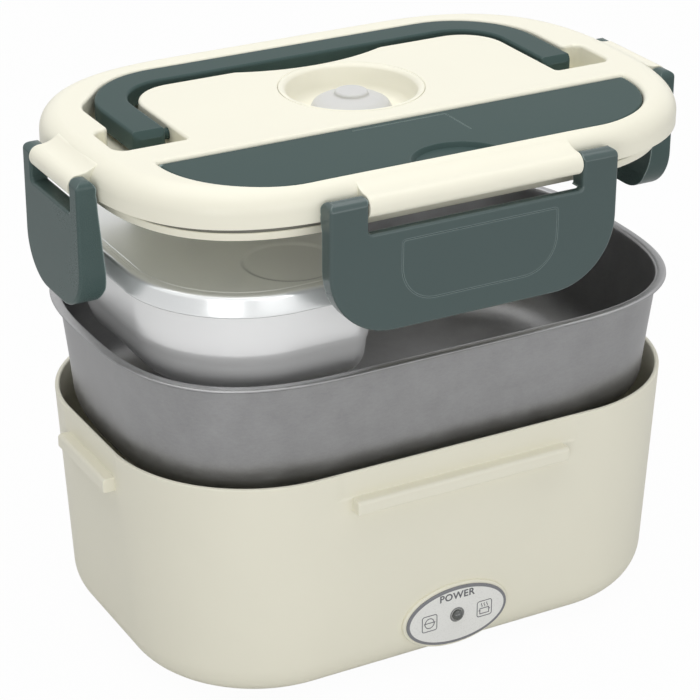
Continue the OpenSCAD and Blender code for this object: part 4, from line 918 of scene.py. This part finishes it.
def cutlery_cover():
    """The cutlery bay's cover: a plate with rounded edges, a finger dip in its front edge and a fine scribed
    corner line."""
    low, high = COVER_TOP - COVER_THICK, COVER_TOP
    plate = slab(bay_shape(COVER_GAP), both_edges(1.0, low, 0.9, high, 5))
    pins = at_both_ends([(0, 97), (0.8, 97), (0.8, 100.7), (0.6, 101), (0, 101)], 24, KNUCKLE_Y, KNUCKLE_Z)
    reach = (DIP_HALF ** 2 + DIP_DEEP ** 2) / (2 * DIP_DEEP)
    dip = [(0, high + 2), (reach + 0.9, high + 2), (reach + 0.5, high + 0.05), (reach, high - 0.35),
           (reach - 1.0, low + 0.95), (0, low + 0.8)]
    cutters = [lathe(dip, 160).moved(DIP_X, BAY_FRONT + COVER_GAP + DIP_DEEP - reach, 0)]
    for a, b in (((-22, -33.4), (17.2, -33.4)), ((17.2, -33.4), (17.2, -51.6))):
        line = four_corners(abs(b[0] - a[0]) / 2 + SCRIBE, abs(b[1] - a[1]) / 2 + SCRIBE, SCRIBE * 0.9)
        cut = slab(rounded(line, 3), [(0, high - 0.22), (0, high + 1)])
        cutters.append(cut.moved((a[0] + b[0]) / 2, (a[1] + b[1]) / 2, 0))
    piece("cutlery_cover_plate", plate, TEAL, "cutlery_cover", ["cutlery_cover"], cutters, 30,
          Surface().add(*pins))


# ---------- latches ----------

def latch(where, side, reach, half, bar, rib_half, corner, back, back_low, pocket, panel=False):
    """A latch: its outline, with two arms, given a rounded front edge, kept only where it lies inside its
    side view, and hollowed at the back for the rib. `panel` scribes a line round the middle of its face."""
    drop, arm, name = -LATCH_DROP, bar + 0.3, f"latch_{where}_plate"
    right = [(half, drop, corner), (half, LATCH_HEAD, 3.2), (arm, LATCH_HEAD, 1.3), (arm, -SLOT_DEEP, 1.6)]
    face = np.concatenate([edge_arc(0.5, -9, "bottom", 3), edge_arc(1.2, LATCH_FACE, "top")])
    body = slab(rounded(mirrored(right), 16), face).placed(facing(side))
    head = arc(LATCH_HEAD, LATCH_HEAD, 16, 200, 40)
    rest = [(-3.95, -3), (back, -8), (back_low, drop + 9), (back_low + 0.6, drop + 5),
            (back_low + 2.4, drop - 4), (LATCH_FACE + 2, drop - 4), (LATCH_FACE + 2, -2),
            (LATCH_FACE + 0.02, 0.6)]
    view = with_normals(np.concatenate([head, rest]))
    prism = slab(view, [(0, -half - 3), (0, half + 3)]).placed(along(side))
    wide, high = rib_half + 1.2, 0.4 - SLOT_DEEP
    hollow = [(-wide, -HOOK_DROP, 1), (wide, -HOOK_DROP, 1), (wide, high, 0.3), (-wide, high, 0.3)]
    cutters = [slab(rounded(hollow, 4), [(0, -12), (0, pocket)]).placed(facing(side))]
    if panel:
        mark = rounded([(-31, -38.8, 14), (34, -38.8, 14), (34, -14, 1.6), (-31, -14, 1.6)], 12)
        deep, over = LATCH_FACE - SCRIBE, LATCH_FACE + 1
        ring = [(0.0, deep), (0.0, over), (-0.5, over), (-0.5, deep)]
        cutters.append(slab(mark, ring, ring=True).placed(facing(side)))
    obj = put(name, body.mesh(name))
    carve(obj, [prism], "INTERSECT")
    carve(obj, cutters)
    obj.data.transform(Matrix.Translation([v * MM for v in out_from(side, reach, HINGE_Z)]))
    node = f"latch_{where}"
    finish_piece(obj, TEAL_LATCH if panel else TEAL_END, node, [node], 28)


# ---------- the whole lunch box ----------

def finish_kept_nodes():
    """Gives each solid that is shown as it is its own finish."""
    kept = (
        (CREAM_INNER, "heater_deck"), (BOARD_GREEN, "lamp_board"), (LEAD_SLEEVE, "lamp_leads heater_leads"),
        (SCREW_STEEL, "board_screws strap_screws plate_screws cover_screws lid_screws"),
        (PLATE_METAL, "heating_plate"), (CERAMIC, "heater_element"), (UNDERSIDE, "bottom_cover"),
        (SHIELD_METAL, "element_strap heat_shield"), (BLACK, "thermostat power_inlet"),
        (BRASS, "thermal_fuse inlet_pins"), (FOOT_RUBBER, "feet"), (GASKET, "lid_gasket"),
        (TUB, "cutlery_tub"), (CUTLERY_STEEL, "spoon fork"),
    )
    for material, nodes in kept:
        for node in nodes.split():
            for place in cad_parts[node].material_slots:
                place.material = material


def floor():
    """A wide level floor: a flat grid that fades to white for the camera and keeps the soft shadow."""
    across = np.linspace(-FLOOR_HALF, FLOOR_HALF, 9)
    x, y = np.meshgrid(across, across)
    rows = np.stack([x, y, np.zeros_like(x)], -1)
    k, m = rows.shape[:2]
    i, j = np.meshgrid(np.arange(k - 1), np.arange(m - 1), indexing="ij")
    quads = np.stack([i * m + j, i * m + j + 1, (i + 1) * m + j + 1, (i + 1) * m + j], -1).reshape(-1, 4)
    mesh = bpy.data.meshes.new("floor")
    mesh.from_pydata((rows.reshape(-1, 3) * MM).tolist(), [], quads.tolist())
    f = Finish("floor_paint")
    f.done(Base_Color=f.blend(f.noise(6, 2), tone(222, 222, 222), tone(226, 226, 226)), Roughness=0.9)
    glow = f.node("ShaderNodeEmission", {}, {"Color": WHITE, "Strength": 1.0})
    seen = f.node("ShaderNodeLightPath", output="Is Camera Ray")
    f.surface(Wire(f, f.shader.outputs[0]), glow, seen * FLOOR_GLOW, "Material Output")
    mesh.materials.append(f.material)
    obj = put("floor", mesh)


def area_lamp(name, place, aim, wide, tall, watts):
    """A soft lamp at `place` that points to `aim`, in metres."""
    data = bpy.data.lights.new(name, "AREA")
    data.shape, data.size, data.size_y, data.energy = "RECTANGLE", wide, tall, watts
    obj = put(name, data)
    obj.location = place
    obj.rotation_euler = (Vector(aim) - Vector(place)).to_track_quat("-Z", "Y").to_euler()


def light():
    """Soft light from above, from the front and low from the left, and an even surround that shows white to
    the camera and in gloss and glass."""
    area_lamp("top_lamp", (-0.05, 0.1, 1.6), (0, 0, 0.1), 1.8, 1.8, TOP_LAMP)
    area_lamp("front_lamp", (0.25, -1.85, 0.5), (0, 0, 0.12), 1.4, 0.8, FRONT_LAMP)
    area_lamp("low_lamp", (-0.98, -1.14, 0.2), (-0.03, -0.03, 0.15), 0.6, 0.6, LOW_LAMP)
    world = bpy.data.worlds.new("studio")
    bpy.context.scene.world = world
    world.use_nodes = True
    sky = Nodes(world.node_tree)
    even = sky.tree.nodes["Background"]
    sky.feed(even.inputs["Color"], WHITE)
    sky.feed(even.inputs["Strength"], SURROUND)
    white = sky.node("ShaderNodeBackground", {}, {"Color": WHITE, "Strength": 1.0})
    seen = sky.node("ShaderNodeLightPath", output="Is Camera Ray")
    for ray in ("Is Glossy Ray", "Is Transmission Ray"):
        seen = seen.calc("MAXIMUM", seen, sky.node("ShaderNodeLightPath", output=ray))
    sky.surface(Wire(sky, even.outputs[0]), white, seen, "World Output")


def camera():
    """The camera, looking down on the front left corner."""
    az, el, roll = [math.radians(angle) for angle in CAMERA_TURN]
    back = Vector((math.sin(az) * math.cos(el), -math.cos(az) * math.cos(el), math.sin(el)))
    right = Vector((math.cos(az), math.sin(az), 0))
    up = back.cross(right)
    turn = Matrix((right, up, back)).transposed().to_4x4() @ Matrix.Rotation(roll, 4, "Z")
    data = bpy.data.cameras.new("camera")
    data.lens, data.sensor_width, data.sensor_fit = CAMERA_LENS, 36.0, "HORIZONTAL"
    data.shift_x, data.shift_y = CAMERA_SHIFT
    data.clip_start, data.clip_end = 0.05, 30
    obj = put("camera", data)
    obj.matrix_world = Matrix.Translation(CAMERA_AT) @ turn
    bpy.context.scene.camera = obj


for make in (camera, light, floor, base_shell, badge, pictograms, lamp_word, tray, insert_box, insert_cover,
             lid, inner_pan, valve, handle, cutlery_cover):
    make()
for where, side in (("front", FRONT), ("back", BACK)):
    latch(where, side, HINGE_Y, LATCH_HALF, BAR_HALF, RIB_HALF, corner=26, back=-2.8, back_low=-2.8,
          pocket=0.7, panel=True)
for where, side in (("left", LEFT), ("right", RIGHT)):
    latch(where, side, HINGE_X, LATCH_END_HALF, BAR_END_HALF, RIB_END_HALF, corner=18, back=-4.2,
          back_low=-7.0, pocket=-2.6)
finish_kept_nodes()

scene = bpy.context.scene
scene.view_settings.view_transform = "Standard"
